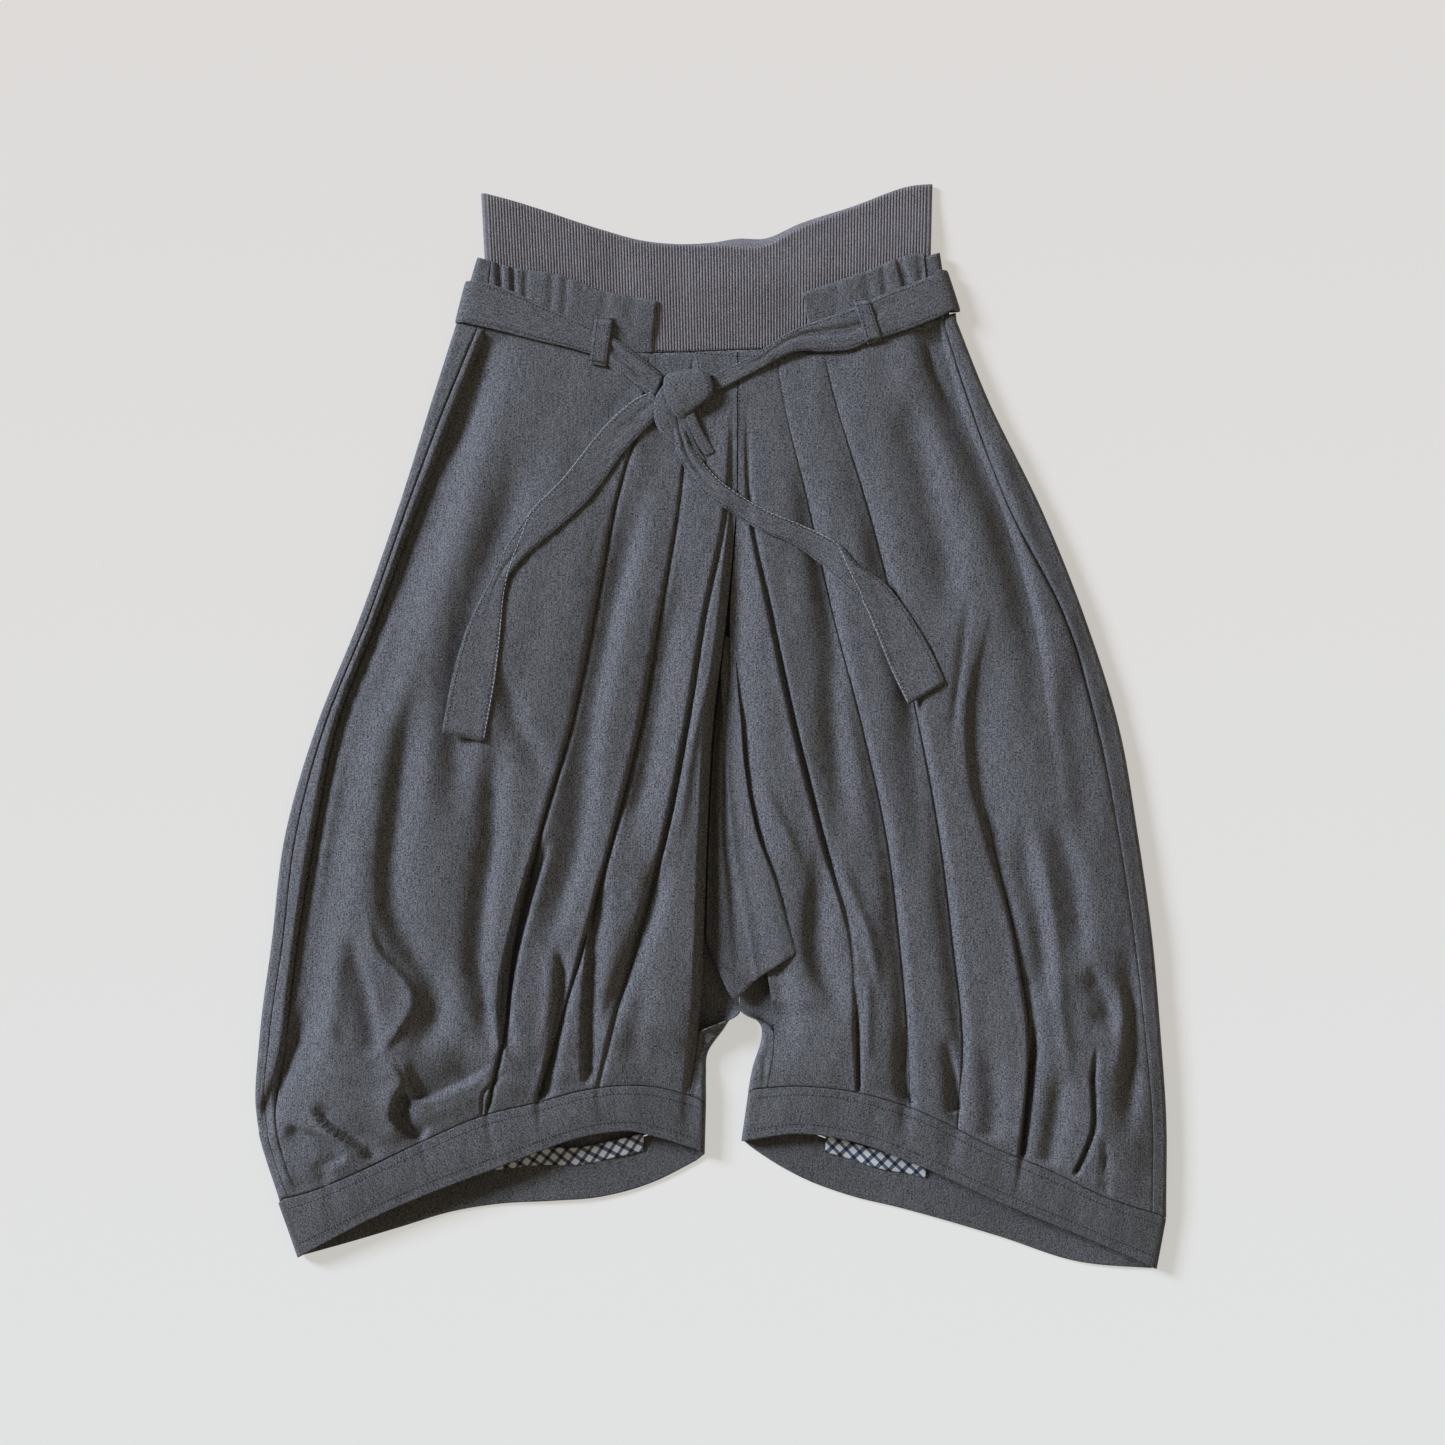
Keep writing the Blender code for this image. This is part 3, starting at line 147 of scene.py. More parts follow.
# Edges as (x, y) points, from the left to the right
WAIST_SEAM = ((-188, 296.4), (-141, 289.5), (-82, 275), (-40, 275), (58, 277), (87, 275), (116, 284.5),
              (148, 294.5), (181, 305))
LEFT_HEM_SEAM = ((-319, -348), (-302, -344), (-266, -330), (-211, -304), (-169, -286), (-128, -276),
                 (-89, -266), (-45, -264), (-4, -275))
LEFT_FRONT_HEM = ((-305, -391), (-247, -360), (-163, -326), (-77, -298), (-60, -297), (-38, -302),
                  (-5, -313))
LEFT_BACK_HEM = ((-305, -391), (-266, -380), (-229, -369), (-192, -358), (-155, -352), (-119, -350),
                 (-82, -347), (-45, -337), (-5, -317))
RIGHT_HEM_SEAM = ((27, -267), (65, -264), (109, -269), (147, -280), (212, -311), (249, -326), (286, -344),
                  (335, -361))
RIGHT_FRONT_HEM = ((22, -305), (65, -299), (102, -304), (150, -321), (212, -349), (286, -380), (328, -399))
RIGHT_BACK_HEM = ((22, -305), (36, -315), (65, -332), (102, -346), (139, -355), (212, -376), (267, -394),
                  (328, -400))

# Inner edges of the legs below the crotch as (y, x) points
LEFT_INNER = ((-350, -6), (-311, -6), (-290, -4.5), (-275, -4), (-256, -4), (-241, -3), (-221, 10),
              (-203, 20))
RIGHT_INNER = ((-350, 22), (-305, 22), (-289, 25), (-269, 27), (-252, 30), (-227, 37), (-214, 36),
               (-203, 24))

# Rib-knit waistband
RIB_PITCH = 2.2
RIB_RELIEF = 1.05
RIB_CLOTH = 1.6
RIB_FOLD = 4.0
RIB_TOP_EDGE = ((-170, 394), (-144, 387), (-119, 379), (-82, 366), (-53, 358), (6, 355), (39, 355),
                (65, 368), (102, 382), (150, 399), (163, 400))
RIB_BACK_EDGE = ((-170, 394), (-144, 387), (-119, 379), (-82, 367), (-53, 359), (0, 357), (20, 360),
                 (39, 360), (65, 371), (102, 383), (150, 399), (163, 400))
RIB_SIDES = ((-170, 163), (-164, 160))

# Woven outer waistband
WAIST_TOP = (((-172, 345), (-144, 337), (-111, 332), (-82, 321), (-40, 313)),
             ((67, 319), (94, 328), (124, 339), (139, 345), (169, 349)))
WAIST_BACK_TOP = ((-172, 345), (-100, 325), (0, 314), (80, 321), (169, 349))
WAIST_OUTLINE = (((285, -184), (300, -183), (330, -177), (350, -171)),
                 ((285, 176), (305, 175), (330, 171), (350, 168)))
WAIST_SIDE_SEAM = (((285, -168), (350, -161)), ((285, 162), (350, 156)))
WAIST_END = (((285, -43), (313, -40)), ((285, 73), (319, 67)))
WAIST_FOLD = 5.0

# Where the binding lies in each mouth, right leg first
BINDING_SPAN = ((84, 158), (-180, -50))


def curve(points, at):
    """Smooth curve through (position, value) points, with its slopes taken from the neighbours."""
    points = sorted(points)
    px = np.array([p[0] for p in points], float)
    py = np.array([p[1] for p in points], float)
    at = np.clip(np.asarray(at, float), px[0], px[-1])
    slopes = np.gradient(py, px)
    i = np.clip(np.searchsorted(px, at, side="right") - 1, 0, len(px) - 2)
    step = px[i + 1] - px[i]
    t = (at - px[i]) / step
    return (py[i] * (1 + 2 * t) * (1 - t) ** 2 + py[i + 1] * t * t * (3 - 2 * t)
            + slopes[i] * step * t * (1 - t) ** 2 - slopes[i + 1] * step * t * t * (1 - t))


def by_level(values, y):
    """A table row's value at height y up the garment."""
    return curve(zip(LEVELS, values), y)


def ease(t):
    """Rises smoothly from 0 to 1."""
    t = np.clip(t, 0, 1)
    return t * t * (3 - 2 * t)


def spot(px, py):
    """A place in the photograph's pixels, in millimetres of the model's frame."""
    return np.array([(px - FRAME_CENTRE[0]) * PIXEL, (FRAME_CENTRE[1] - py) * PIXEL])


def smooth_path(points, steps=6):
    """The points of a path in pixels, with more between them, in millimetres."""
    places = np.array([spot(*p) for p in points])
    at = np.linspace(0, len(points) - 1, (len(points) - 1) * steps + 1)
    return np.stack([curve(list(enumerate(places[:, axis])), at) for axis in (0, 1)], axis=1)


def running(lengths):
    """The sum of the lengths so far along the last axis, from 0."""
    return np.concatenate([np.zeros(lengths.shape[:-1] + (1,)), np.cumsum(lengths, axis=-1)], axis=-1)


def path_length(points):
    """How far along a line each of its points is."""
    return running(np.linalg.norm(np.diff(points, axis=0), axis=1))


def crowded(count):
    """Shares from 0 to 1, closer together at both ends."""
    return 0.5 - 0.5 * np.cos(np.linspace(0, np.pi, count))


def between(one, two, share):
    """Grid of points between two lines, at the shares given across it."""
    return one[:, None] * (1 - share[None, :, None]) + two[:, None] * share[None, :, None]


def grid_of(*parts):
    """Points or cloth coordinates from their parts, all spread to one shape."""
    return np.stack(np.broadcast_arrays(*parts), axis=-1)


def settled(rule, value, rounds):
    """The value that the rule comes to when it is applied again and again."""
    for _ in range(rounds):
        value = rule(value)
    return value


def across_path(path, x, y):
    """Distance from a path, positive on its right on the way down, and the share of the path's length."""
    best = np.full(np.shape(x), 1e9)
    sign = np.ones(np.shape(x))
    share = np.zeros(np.shape(x))
    lengths = np.hypot(*np.diff(path, axis=0).T)
    so_far = running(lengths)
    for i, ((ax, ay), (bx, by)) in enumerate(zip(path, path[1:])):
        t = np.clip(((x - ax) * (bx - ax) + (y - ay) * (by - ay)) / lengths[i] ** 2, 0, 1)
        distance = np.hypot(x - ax - t * (bx - ax), y - ay - t * (by - ay))
        nearer = distance < best
        side = np.where((bx - ax) * (y - ay) - (by - ay) * (x - ax) > 0, 1.0, -1.0)
        best = np.where(nearer, distance, best)
        sign = np.where(nearer, side, sign)
        share = np.where(nearer, (so_far[i] + t * lengths[i]) / so_far[-1], share)
    return best * sign, share


# Lone creases. path runs down the garment in pixels, a negative depth is a ridge, left and right are how
# far the slopes reach, and starts and ends are the shares of the path over which it fades in and out.
Crease = namedtuple("Crease", "path depth left right floor starts ends")
LEFT_CREASES = (
    (((500, 335), (495, 350), (462, 440), (444, 508), (412, 590), (392, 670), (370, 715), (352, 791),
     (340, 850), (330, 900), (317, 965), (312, 1010), (306, 1050), (299, 1085), (292, 1115)), 5.0, 11, 13,
     0, 0.1, 0.1),
    (((305, 1000), (292, 1040), (280, 1080), (266, 1110), (261, 1136)), 5.0, 4, 7, 1.0, 0.3, 0.05),
    (((345, 930), (338, 975), (334, 1020), (322, 1060)), -2.0, 7, 6, 0, 0.3, 0.3),
    (((528, 430), (519, 460), (507, 520), (495, 550), (482, 585), (468, 640), (458, 690), (458, 745),
     (459, 800), (460, 850)), 6.4, 13, 13, 0, 0.2, 0.25),
    (((424, 650), (416, 700), (403, 770), (395, 830), (391, 870), (395, 915), (414, 949), (431, 980),
     (436, 1004), (428, 1031), (408, 1054)), 7.5, 9, 13, 0, 0.25, 0.12),
    (((366, 905), (376, 944), (394, 966), (409, 983), (414, 1000), (406, 1018), (389, 1043), (379, 1058)),
     -3.4, 8, 3.0, 0, 0.25, 0.2),
    (((350, 925), (358, 960), (368, 990), (375, 1030), (379, 1056)), 4.8, 9, 4, 0, 0.3, 0.12),
    (((326, 985), (334, 1010), (345, 1035), (358, 1050)), 1.6, 2.0, 2.6, 0, 0.3, 0.3),
    (((502, 720), (496, 760), (494, 800), (494, 840), (487, 880), (482, 920), (479, 965), (488, 1000),
     (491, 1040), (490, 1058)), 8.0, 10, 8, 0, 0.25, 0.15),
    (((500, 660), (508, 690), (520, 728), (538, 760), (552, 785)), 5.0, 8, 8, 0, 0.35, 0.3),
    (((652, 445), (634, 526), (620, 580), (606, 640), (594, 709), (588, 760), (584, 800), (577, 850),
     (562, 900), (550, 935), (541, 970), (536, 995)), 7.8, 15, 8, 0, 0.25, 0.2),
    (((546, 830), (541, 850), (532, 878), (523, 910), (513, 950), (506, 990), (506, 1025), (518, 1062)),
     9.5, 1.4, 2.6, 2.8, 0.2, 0.25),
    (((494, 960), (493, 1005), (497, 1035), (508, 1058)), -2.6, 4, 2.4, 0, 0.4, 0.2),
    (((556, 930), (561, 973), (557, 1017), (549, 1058), (544, 1082), (538, 1103)), 6.5, 1.2, 6, 0.8, 0.3,
     0.05),
    (((546, 935), (550, 975), (547, 1015), (538, 1055)), -2.0, 4, 3.0, 0, 0.3, 0.3),
    (((690, 560), (672, 620), (657, 700), (646, 770), (632, 820), (622, 862)), 7.0, 10, 11, 0, 0.3, 0.25),
    (((606, 862), (599, 890), (592, 930), (589, 965), (587, 1000), (586, 1040), (586, 1088)), 7.5, 1.2, 8,
     0.8, 0.25, 0.1),
    (((662, 850), (652, 905), (638, 945), (622, 985), (613, 1010), (608, 1045)), 7.8, 8, 8, 0, 0.2, 0.25),
    (((716, 650), (702, 700), (690, 760), (682, 817), (676, 850)), -2.2, 3.5, 3.5, 0, 0.3, 0.3),
    (((701, 985), (697, 1030), (693, 1062), (688, 1090)), 1.4, 1.3, 1.6, 0, 0.3, 0.05),
    (((494, 1056), (484, 1066), (472, 1075), (456, 1083), (434, 1092), (410, 1096)), 8.5, 20, 3.2, 0, 0.4,
     0.1),
    (((411, 1091), (402, 1100), (399, 1110), (402, 1121), (410, 1131), (427, 1141)), 8.0, 2.0, 7.5, 1.2,
     0.15, 0.15),
    (((379, 1056), (396, 1068), (402, 1079), (395, 1093), (391, 1109), (395, 1123), (410, 1137)), -2.8, 8,
     2.6, 0, 0.2, 0.2),
    (((514, 1066), (502, 1075), (488, 1087), (483, 1096), (482, 1116)), 2.2, 1.0, 1.8, 0, 0.45, 0.05),
    (((313, 1099), (318, 1108), (329, 1120), (343, 1131), (360, 1142), (369, 1151), (372, 1163)), 6.5, 2.0,
     7.5, 0.6, 0.25, 0.15),
    (((307, 1103), (314, 1113), (326, 1126), (341, 1137), (357, 1147)), -2.0, 2.4, 1.8, 0, 0.2, 0.2),
    (((286, 1124), (303, 1132), (320, 1138), (334, 1147), (346, 1162)), 6.0, 9, 2.2, 0.8, 0.2, 0.15),
    (((322, 1155), (324, 1172), (330, 1190)), 3.0, 6, 5, 0, 0.3, 0.2),
    (((276, 1150), (284, 1170), (296, 1190)), -1.6, 6, 6, 0, 0.4, 0.4),
    (((650, 940), (642, 990), (636, 1040), (636, 1082)), 2.8, 8, 8, 0, 0.4, 0.3),
    (((640, 372), (622, 405), (600, 440)), 2.2, 10, 12, 0, 0.3, 0.4),
    (((350, 720), (334, 800), (322, 870), (314, 930)), -1.8, 5, 4, 0, 0.4, 0.4),
)
RIGHT_CREASES = (
    (((1000, 590), (988, 640), (976, 690), (973, 730), (977, 780), (988, 825), (1002, 880), (1014, 930)),
     6.0, 4.0, 18, 1.0, 0.4, 0.3),
    (((819, 826), (820, 860), (818, 890), (816, 930), (818, 957), (824, 975), (834, 992), (848, 1022)), 6.5,
     7, 9, 1.5, 0.45, 0.3),
    (((755, 770), (772, 805), (790, 842), (804, 880)), -2.8, 9, 4, 0, 0.35, 0.35),
    (((832, 850), (850, 890), (866, 930), (874, 965), (880, 1000)), -3.2, 4, 5, 0, 0.3, 0.35),
    (((854, 975), (856, 1005), (857, 1040), (858, 1092)), 6.0, 1.1, 2.0, 0.3, 0.5, 0.02),
    (((866, 965), (867, 1010), (866, 1070)), -2.0, 2.6, 4, 0, 0.3, 0.3),
    (((780, 950), (786, 1000), (792, 1050)), 3.8, 8, 8, 0, 0.4, 0.4),
    (((905, 1020), (905, 1060), (906, 1085), (912, 1107)), 4.7, 7, 2, 0, 0.35, 0.05),
    (((798, 450), (812, 530), (826, 600), (831, 650), (833, 700), (838, 760), (846, 820), (855, 860)), 6.7,
     11, 9, 0, 0.25, 0.25),
    (((862, 450), (876, 520), (890, 600), (905, 680), (911, 757), (918, 830), (932, 910)), 4.3, 12, 7, 0,
     0.25, 0.3),
    (((944, 1030), (952, 1070), (959, 1112)), 4.7, 7, 3, 0, 0.35, 0.04),
    (((905, 385), (910, 415), (922, 460), (931, 500), (941, 540), (950, 590), (957, 640)), 6.0, 14, 12, 0,
     0.2, 0.3),
    (((986, 418), (1006, 469), (1024, 517), (1040, 560)), -2.0, 6, 5, 0, 0.3, 0.4),
    (((972, 580), (966, 620), (959, 670), (953, 720), (950, 760)), 2.6, 3, 2, 0, 0.3, 0.35),
    (((1014, 810), (1026, 860), (1038, 920), (1044, 970), (1044, 1010)), 6.7, 12, 7, 0, 0.3, 0.2),
    (((1030, 1015), (1032, 1040), (1030, 1064), (1026, 1101), (1020, 1158)), 6.0, 1.1, 2.2, 0.7, 0.3, 0.02),
    (((1022, 800), (1036, 847), (1049, 919), (1057, 1002), (1064, 1050), (1069, 1101)), -3.0, 4, 6, 0, 0.25,
     0.25),
    (((1050, 800), (1062, 845), (1074, 890), (1082, 975)), 5.2, 10, 8, 0, 0.3, 0.3),
    (((1082, 960), (1098, 985), (1108, 1010), (1106, 1040)), 6.5, 12, 5, 0, 0.35, 0.3),
    (((1114, 975), (1121, 1000), (1120, 1040), (1112, 1080)), -3.8, 4, 4, 0, 0.35, 0.35),
    (((1096, 1040), (1091, 1074), (1092, 1112), (1090, 1131), (1081, 1157), (1073, 1175)), 6.0, 1.1, 2.2,
     0.5, 0.3, 0.05),
    (((1126, 930), (1130, 1000), (1130, 1080), (1126, 1150)), 5.8, 8, 6, 0, 0.35, 0.3),
    (((1102, 1130), (1103, 1165), (1101, 1195)), 3.6, 1.6, 2.6, 0, 0.4, 0.04),
    (((1062, 1060), (1056, 1110), (1048, 1165)), 5.0, 8, 7, 0, 0.4, 0.06),
    (((985, 1030), (992, 1080), (992, 1140)), 4.3, 9, 8, 0, 0.4, 0.06),
    (((1062, 640), (1072, 700), (1080, 780), (1088, 860)), 3.8, 14, 12, 0, 0.35, 0.4),
    (((932, 345), (940, 375), (962, 412)), 2.6, 4, 4, 0.4, 0.1, 0.4),
    (((764, 1055), (764, 1089)), 1.2, 1.3, 1.6, 0, 0.1, 0.05),
)

ripples = np.random.default_rng(11)
RIPPLES = [(ripples.uniform(-0.3, 0.3), 1.0 / ripples.uniform(26, 90), ripples.uniform(0, 6.28),
            ripples.uniform(0.06, 0.2)) for _ in range(14)]
FINE_RIPPLES = [(ripples.uniform(-3.1, 3.1), 1.0 / ripples.uniform(9, 22), ripples.uniform(0, 6.28),
                 ripples.uniform(0.015, 0.04)) for _ in range(26)]


def unevenness(x, y):
    """Slight waves that no cloth is without, mostly running down the garment."""
    total = np.zeros(np.shape(x))
    for turn, rate, shift, size in RIPPLES + FINE_RIPPLES:
        along = x * math.cos(turn) + y * math.sin(turn)
        total = total + size * np.sin(2 * math.pi * rate * along + shift)
    return total


def waist_y(x):
    return curve(WAIST_SEAM, x)


class Leg:
    """One leg's lines and curves. side is -1 for the left leg and +1 for the right."""

    def __init__(self, side, lines, creases, between_lines, outline, hem_seam, front_hem, back_hem, inner):
        self.side = side
        self.lines = lines
        self.creases = [(Crease(*row), smooth_path(row[0])) for row in creases]
        self.between_lines = between_lines
        self.outline_table = outline
        self.hem_seam = hem_seam
        self.front_hem = front_hem
        self.back_hem = back_hem
        self.inner = inner
        named = {line.name: line for line in lines}
        self.seam = named["side seam"]
        self.centre = named["centre valley"]

    def outline(self, y):
        return by_level(self.outline_table, y)

    def inner_edge(self, y):
        return curve(self.inner, y)

    def hem_y(self, x):
        return curve(self.hem_seam, x)

    def back_hem_y(self, x):
        return curve(self.back_hem, x) + HEM_BAND_DEPTH

    def height(self, x, y):
        """Top of the leg's front above the floor."""
        x, y = np.broadcast_arrays(np.asarray(x, float), np.asarray(y, float))
        from_crotch = np.hypot(x - CROTCH[0], y - CROTCH[1])
        inner = np.where(y < CROTCH[1], np.abs(self.inner_edge(y) - x), from_crotch)
        distance = np.minimum(np.abs(x - self.outline(y)), inner)
        from_waist, from_hem = waist_y(x) - y, y - self.hem_y(x)
        beyond_opening = np.abs(x - OPENING_MIDDLE) - OPENING_HALF
        waist_level = RIB_TOP + (WAIST_FRONT_TOP - RIB_TOP) * ease(beyond_opening / OPENING_SLOPE)
        full = waist_level + (LEG_HEIGHT - waist_level) * np.sqrt(ease(from_waist / WAIST_REACH))
        full = HEM_HEIGHT + (full - HEM_HEIGHT) * ease(from_hem / HEM_REACH)
        edge = SIDE_HEIGHT + (full - SIDE_HEIGHT) * np.sin(np.clip(distance / SIDE_REACH, 0, 1) * np.pi / 2)
        keep = np.clip(distance / SIDE_RADIUS, 0, 1)
        plain = edge * (0.5 + 0.5 * np.sqrt(1 - (1 - keep) ** 2))
        near_seams = (FOLDS_AT_HEM + (1 - FOLDS_AT_HEM) * ease(from_hem / 8)) * ease(from_waist / 12)
        puff = HEM_PUFF * np.exp(-((from_hem - 15) / 10) ** 2) * ease(distance / 14)
        puff = puff - HEM_SINK * np.exp(-(from_hem / 2) ** 2)
        total = plain + self.relief(x, y) * near_seams * ease(distance / 5) + puff
        return np.maximum(total, np.minimum(LOWEST_TOP, plain))

    def relief(self, x, y):
        """How far the folds, creases and ripples move a point of the front up or down."""
        total = unevenness(x, y)
        for fold in self.lines:
            across = x - by_level(fold.x, y)
            reach = np.where(across < 0, fold.left, fold.right)
            beyond = np.maximum(np.abs(across) - fold.floor, 0) / reach
            depth = np.maximum(by_level(fold.depth, y), 0)
            total = total - depth * np.exp(-beyond ** 2)
            slit = SLIT_DEPTH if fold.floor < SLIT_FLOOR else 0
            total = total - slit * np.minimum(depth / 2.5, 1) * np.exp(-(across / SLIT_REACH) ** 2)
            steep = -1 if fold.left < fold.right else 1
            beside = np.exp(-((across * steep - LIP_AWAY) / LIP_REACH) ** 2)
            total = total + fold.lip * np.minimum(depth / 4, 1) * beside
        total = np.array(total)
        for crease, path in self.creases:
            room = 2.6 * max(crease.left, crease.right) + crease.floor
            near = ((x > path[:, 0].min() - room) & (x < path[:, 0].max() + room)
                    & (y > path[:, 1].min() - room) & (y < path[:, 1].max() + room))
            if not near.any():
                continue
            across, share = across_path(path, x[near], y[near])
            reach = np.where(across < 0, crease.left, crease.right)
            beyond = np.maximum(np.abs(across) - crease.floor, 0) / reach
            fade = ease(share / crease.starts) * ease((1 - share) / crease.ends)
            total[near] -= crease.depth * fade * np.exp(-beyond ** 2)
        return total


LEFT = Leg(-1, LEFT_LINES, LEFT_CREASES, LEFT_BETWEEN, LEFT_OUTLINE, LEFT_HEM_SEAM, LEFT_FRONT_HEM,
           LEFT_BACK_HEM, LEFT_INNER)
RIGHT = Leg(1, RIGHT_LINES, RIGHT_CREASES, RIGHT_BETWEEN, RIGHT_OUTLINE, RIGHT_HEM_SEAM, RIGHT_FRONT_HEM,
            RIGHT_BACK_HEM, RIGHT_INNER)


# Meshes
def build(name, vertices, faces, cloth_uv, material):
    """One closed mesh, from points and cloth coordinates in millimetres. A piece of cloth stands for the
    solid whose name it bears, a part of the knot for the knot, and thread for no solid."""
    mesh = bpy.data.meshes.new(name)
    mesh.from_pydata((np.asarray(vertices) * MM).tolist(), [], faces)
    layer = mesh.uv_layers.new(name="cloth")
    corner = np.zeros(len(mesh.loops), int)
    mesh.loops.foreach_get("vertex_index", corner)
    layer.uv.foreach_set("vector", (np.asarray(cloth_uv) * MM)[corner].astype(np.float32).ravel())
    shape = bmesh.new()
    shape.from_mesh(mesh)
    bmesh.ops.recalc_face_normals(shape, faces=shape.faces)
    shape.to_mesh(mesh)
    shape.free()
    mesh.polygons.foreach_set("use_smooth", np.ones(len(mesh.polygons), bool))
    mesh.materials.append(material)
    piece = bpy.data.objects.new(name, mesh)
    bpy.context.scene.collection.objects.link(piece)
    kind, rest = name.split("_", 1)
    nodes = {"cloth": (rest,), "knot": ("belt_knot",)}.get(kind, ())
    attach(piece, "root")
    if nodes:
        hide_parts(*nodes)
    return piece


def rim(faces, fine, coarse, partners):
    """Faces that join a fine run of points to a coarse one, which lies under the fine points in partners."""
    for k in range(len(coarse) - 1):
        run = fine[partners[k]:partners[k + 1] + 1]
        middle = len(run) // 2
        for a, b in zip(run[:middle], run[1:middle + 1]):
            faces.append((a, b, coarse[k]))
        faces.append((run[middle], coarse[k + 1], coarse[k]))
        for a, b in zip(run[middle:], run[middle + 1:]):
            faces.append((a, b, coarse[k + 1]))


def every(count, step):
    """Indices at the step given, with the last one always among them."""
    return sorted(set(range(0, count - 1, step)) | {count - 1})


def shell(name, outer, inner, uv, material, row_ids=None, col_ids=None, ring=False):
    """Closed wall between an outer grid and an inner one, which may have points only under some of the
    outer grid's rows and columns."""
    rows, cols = outer.shape[:2]
    row_ids = list(row_ids or range(rows))
    col_ids = list(col_ids or range(cols))
    inner_uv = uv[np.ix_(row_ids, col_ids)]
    index = np.arange(rows * cols).reshape(rows, cols)
    few = np.arange(len(row_ids) * len(col_ids)).reshape(len(row_ids), len(col_ids)) + rows * cols
    if ring:
        index = np.concatenate([index, index[:, :1]], axis=1)
        few = np.concatenate([few, few[:, :1]], axis=1)
        col_ids.append(cols)
    faces = []
    for grid in (index, few):
        quads = np.stack([grid[:-1, :-1], grid[1:, :-1], grid[1:, 1:], grid[:-1, 1:]], axis=-1)
        faces += [tuple(q) for q in quads.reshape(-1, 4).tolist()]
    index, few = index.tolist(), few.tolist()
    rim(faces, index[0], few[0], col_ids)
    rim(faces, index[-1], few[-1], col_ids)
    if not ring:
        for end in (0, -1):
            rim(faces, [r[end] for r in index], [r[end] for r in few], row_ids)
    vertices = np.concatenate([outer.reshape(-1, 3), inner.reshape(-1, 3)])
    cloth_uv = np.concatenate([uv.reshape(-1, 2), inner_uv.reshape(-1, 2)])
    return build(name, vertices, faces, cloth_uv, material)


def lowest_near(z, row_ids, col_ids, reach):
    """The lowest height near each of the points named, so that a coarse inside never shows through."""
    low = np.zeros((len(row_ids), len(col_ids)))
    for i, r in enumerate(row_ids):
        for j, c in enumerate(col_ids):
            low[i, j] = z[max(r - reach, 0):r + reach + 1, max(c - reach, 0):c + reach + 1].min()
    return low


def inward(grid, cloth, ring=False, flipped=False):
    """A grid's points moved by the cloth against its normal, which looks up where the rows run down and the
    columns run to the right, or to the left where it is flipped."""
    if flipped:
        return inward(grid[:, ::-1], cloth, ring)[:, ::-1]
    down = np.gradient(grid, axis=0)
    if ring:
        right = np.roll(grid, -1, axis=1) - np.roll(grid, 1, axis=1)
    else:
        right = np.gradient(grid, axis=1)
    normal = np.cross(down, right)
    return grid - cloth * normal / np.linalg.norm(normal, axis=2, keepdims=True)


# Pieces
def make_leg_front(leg, name):
    """The pleated front, from the side seam to the centre seam. Its columns crowd beside every line."""
    columns = []
    for gap, count in enumerate(leg.between_lines):
        t = np.arange(count + 1) / (count + 1)
        crowd = t - 0.78 * np.sin(2 * np.pi * t) / (2 * np.pi)
        columns += [(gap, f) for f in crowd]
    columns.append((len(leg.between_lines) - 1, 1.0))
    gap = np.array([c[0] for c in columns])
    share = np.array([c[1] for c in columns])
    ids = np.arange(len(columns))

    def x_at(y):
        """x of every column at its own height y."""
        lines = np.array([by_level(line.x, y) for line in leg.lines])
        lines[0] += SEAM_GAP / 2
        lines[-1] -= SEAM_GAP / 2
        if y.ndim == 1:
            return (1 - share) * lines[gap, ids] + share * lines[gap + 1, ids]
        return (1 - share) * lines[gap, :, ids].T + share * lines[gap + 1, :, ids].T

    top = settled(lambda y: waist_y(x_at(y)), np.full(len(columns), NEAR_WAIST), 14) - SEAM_GAP / 2
    low = settled(lambda y: leg.hem_y(x_at(y)), np.full(len(columns), NEAR_HEM), 14) + HEM_GAP / 2
    down = np.concatenate([np.linspace(0, 0.56, 110), np.linspace(0.56, 1, 190)[1:]])
    y = top + (low - top) * down[:, None]
    x = x_at(y)
    z = leg.height(x, y)
    row_ids, col_ids = every(len(down), 6), every(len(columns), 6)
    outer = grid_of(x, y, z)
    inner = outer[np.ix_(row_ids, col_ids)].copy()
    inner[:, :, 2] = np.maximum(lowest_near(z, row_ids, col_ids, 6) - CLOTH, BAND_CLOTH)
    for edge in ((0, slice(None)), (-1, slice(None)), (slice(None), 0), (slice(None), -1)):
        inner[edge + (2,)] = outer[np.ix_(row_ids, col_ids)][edge + (2,)] - CLOTH
    return shell(name, outer, inner, grid_of(x, y), woven, row_ids, col_ids)


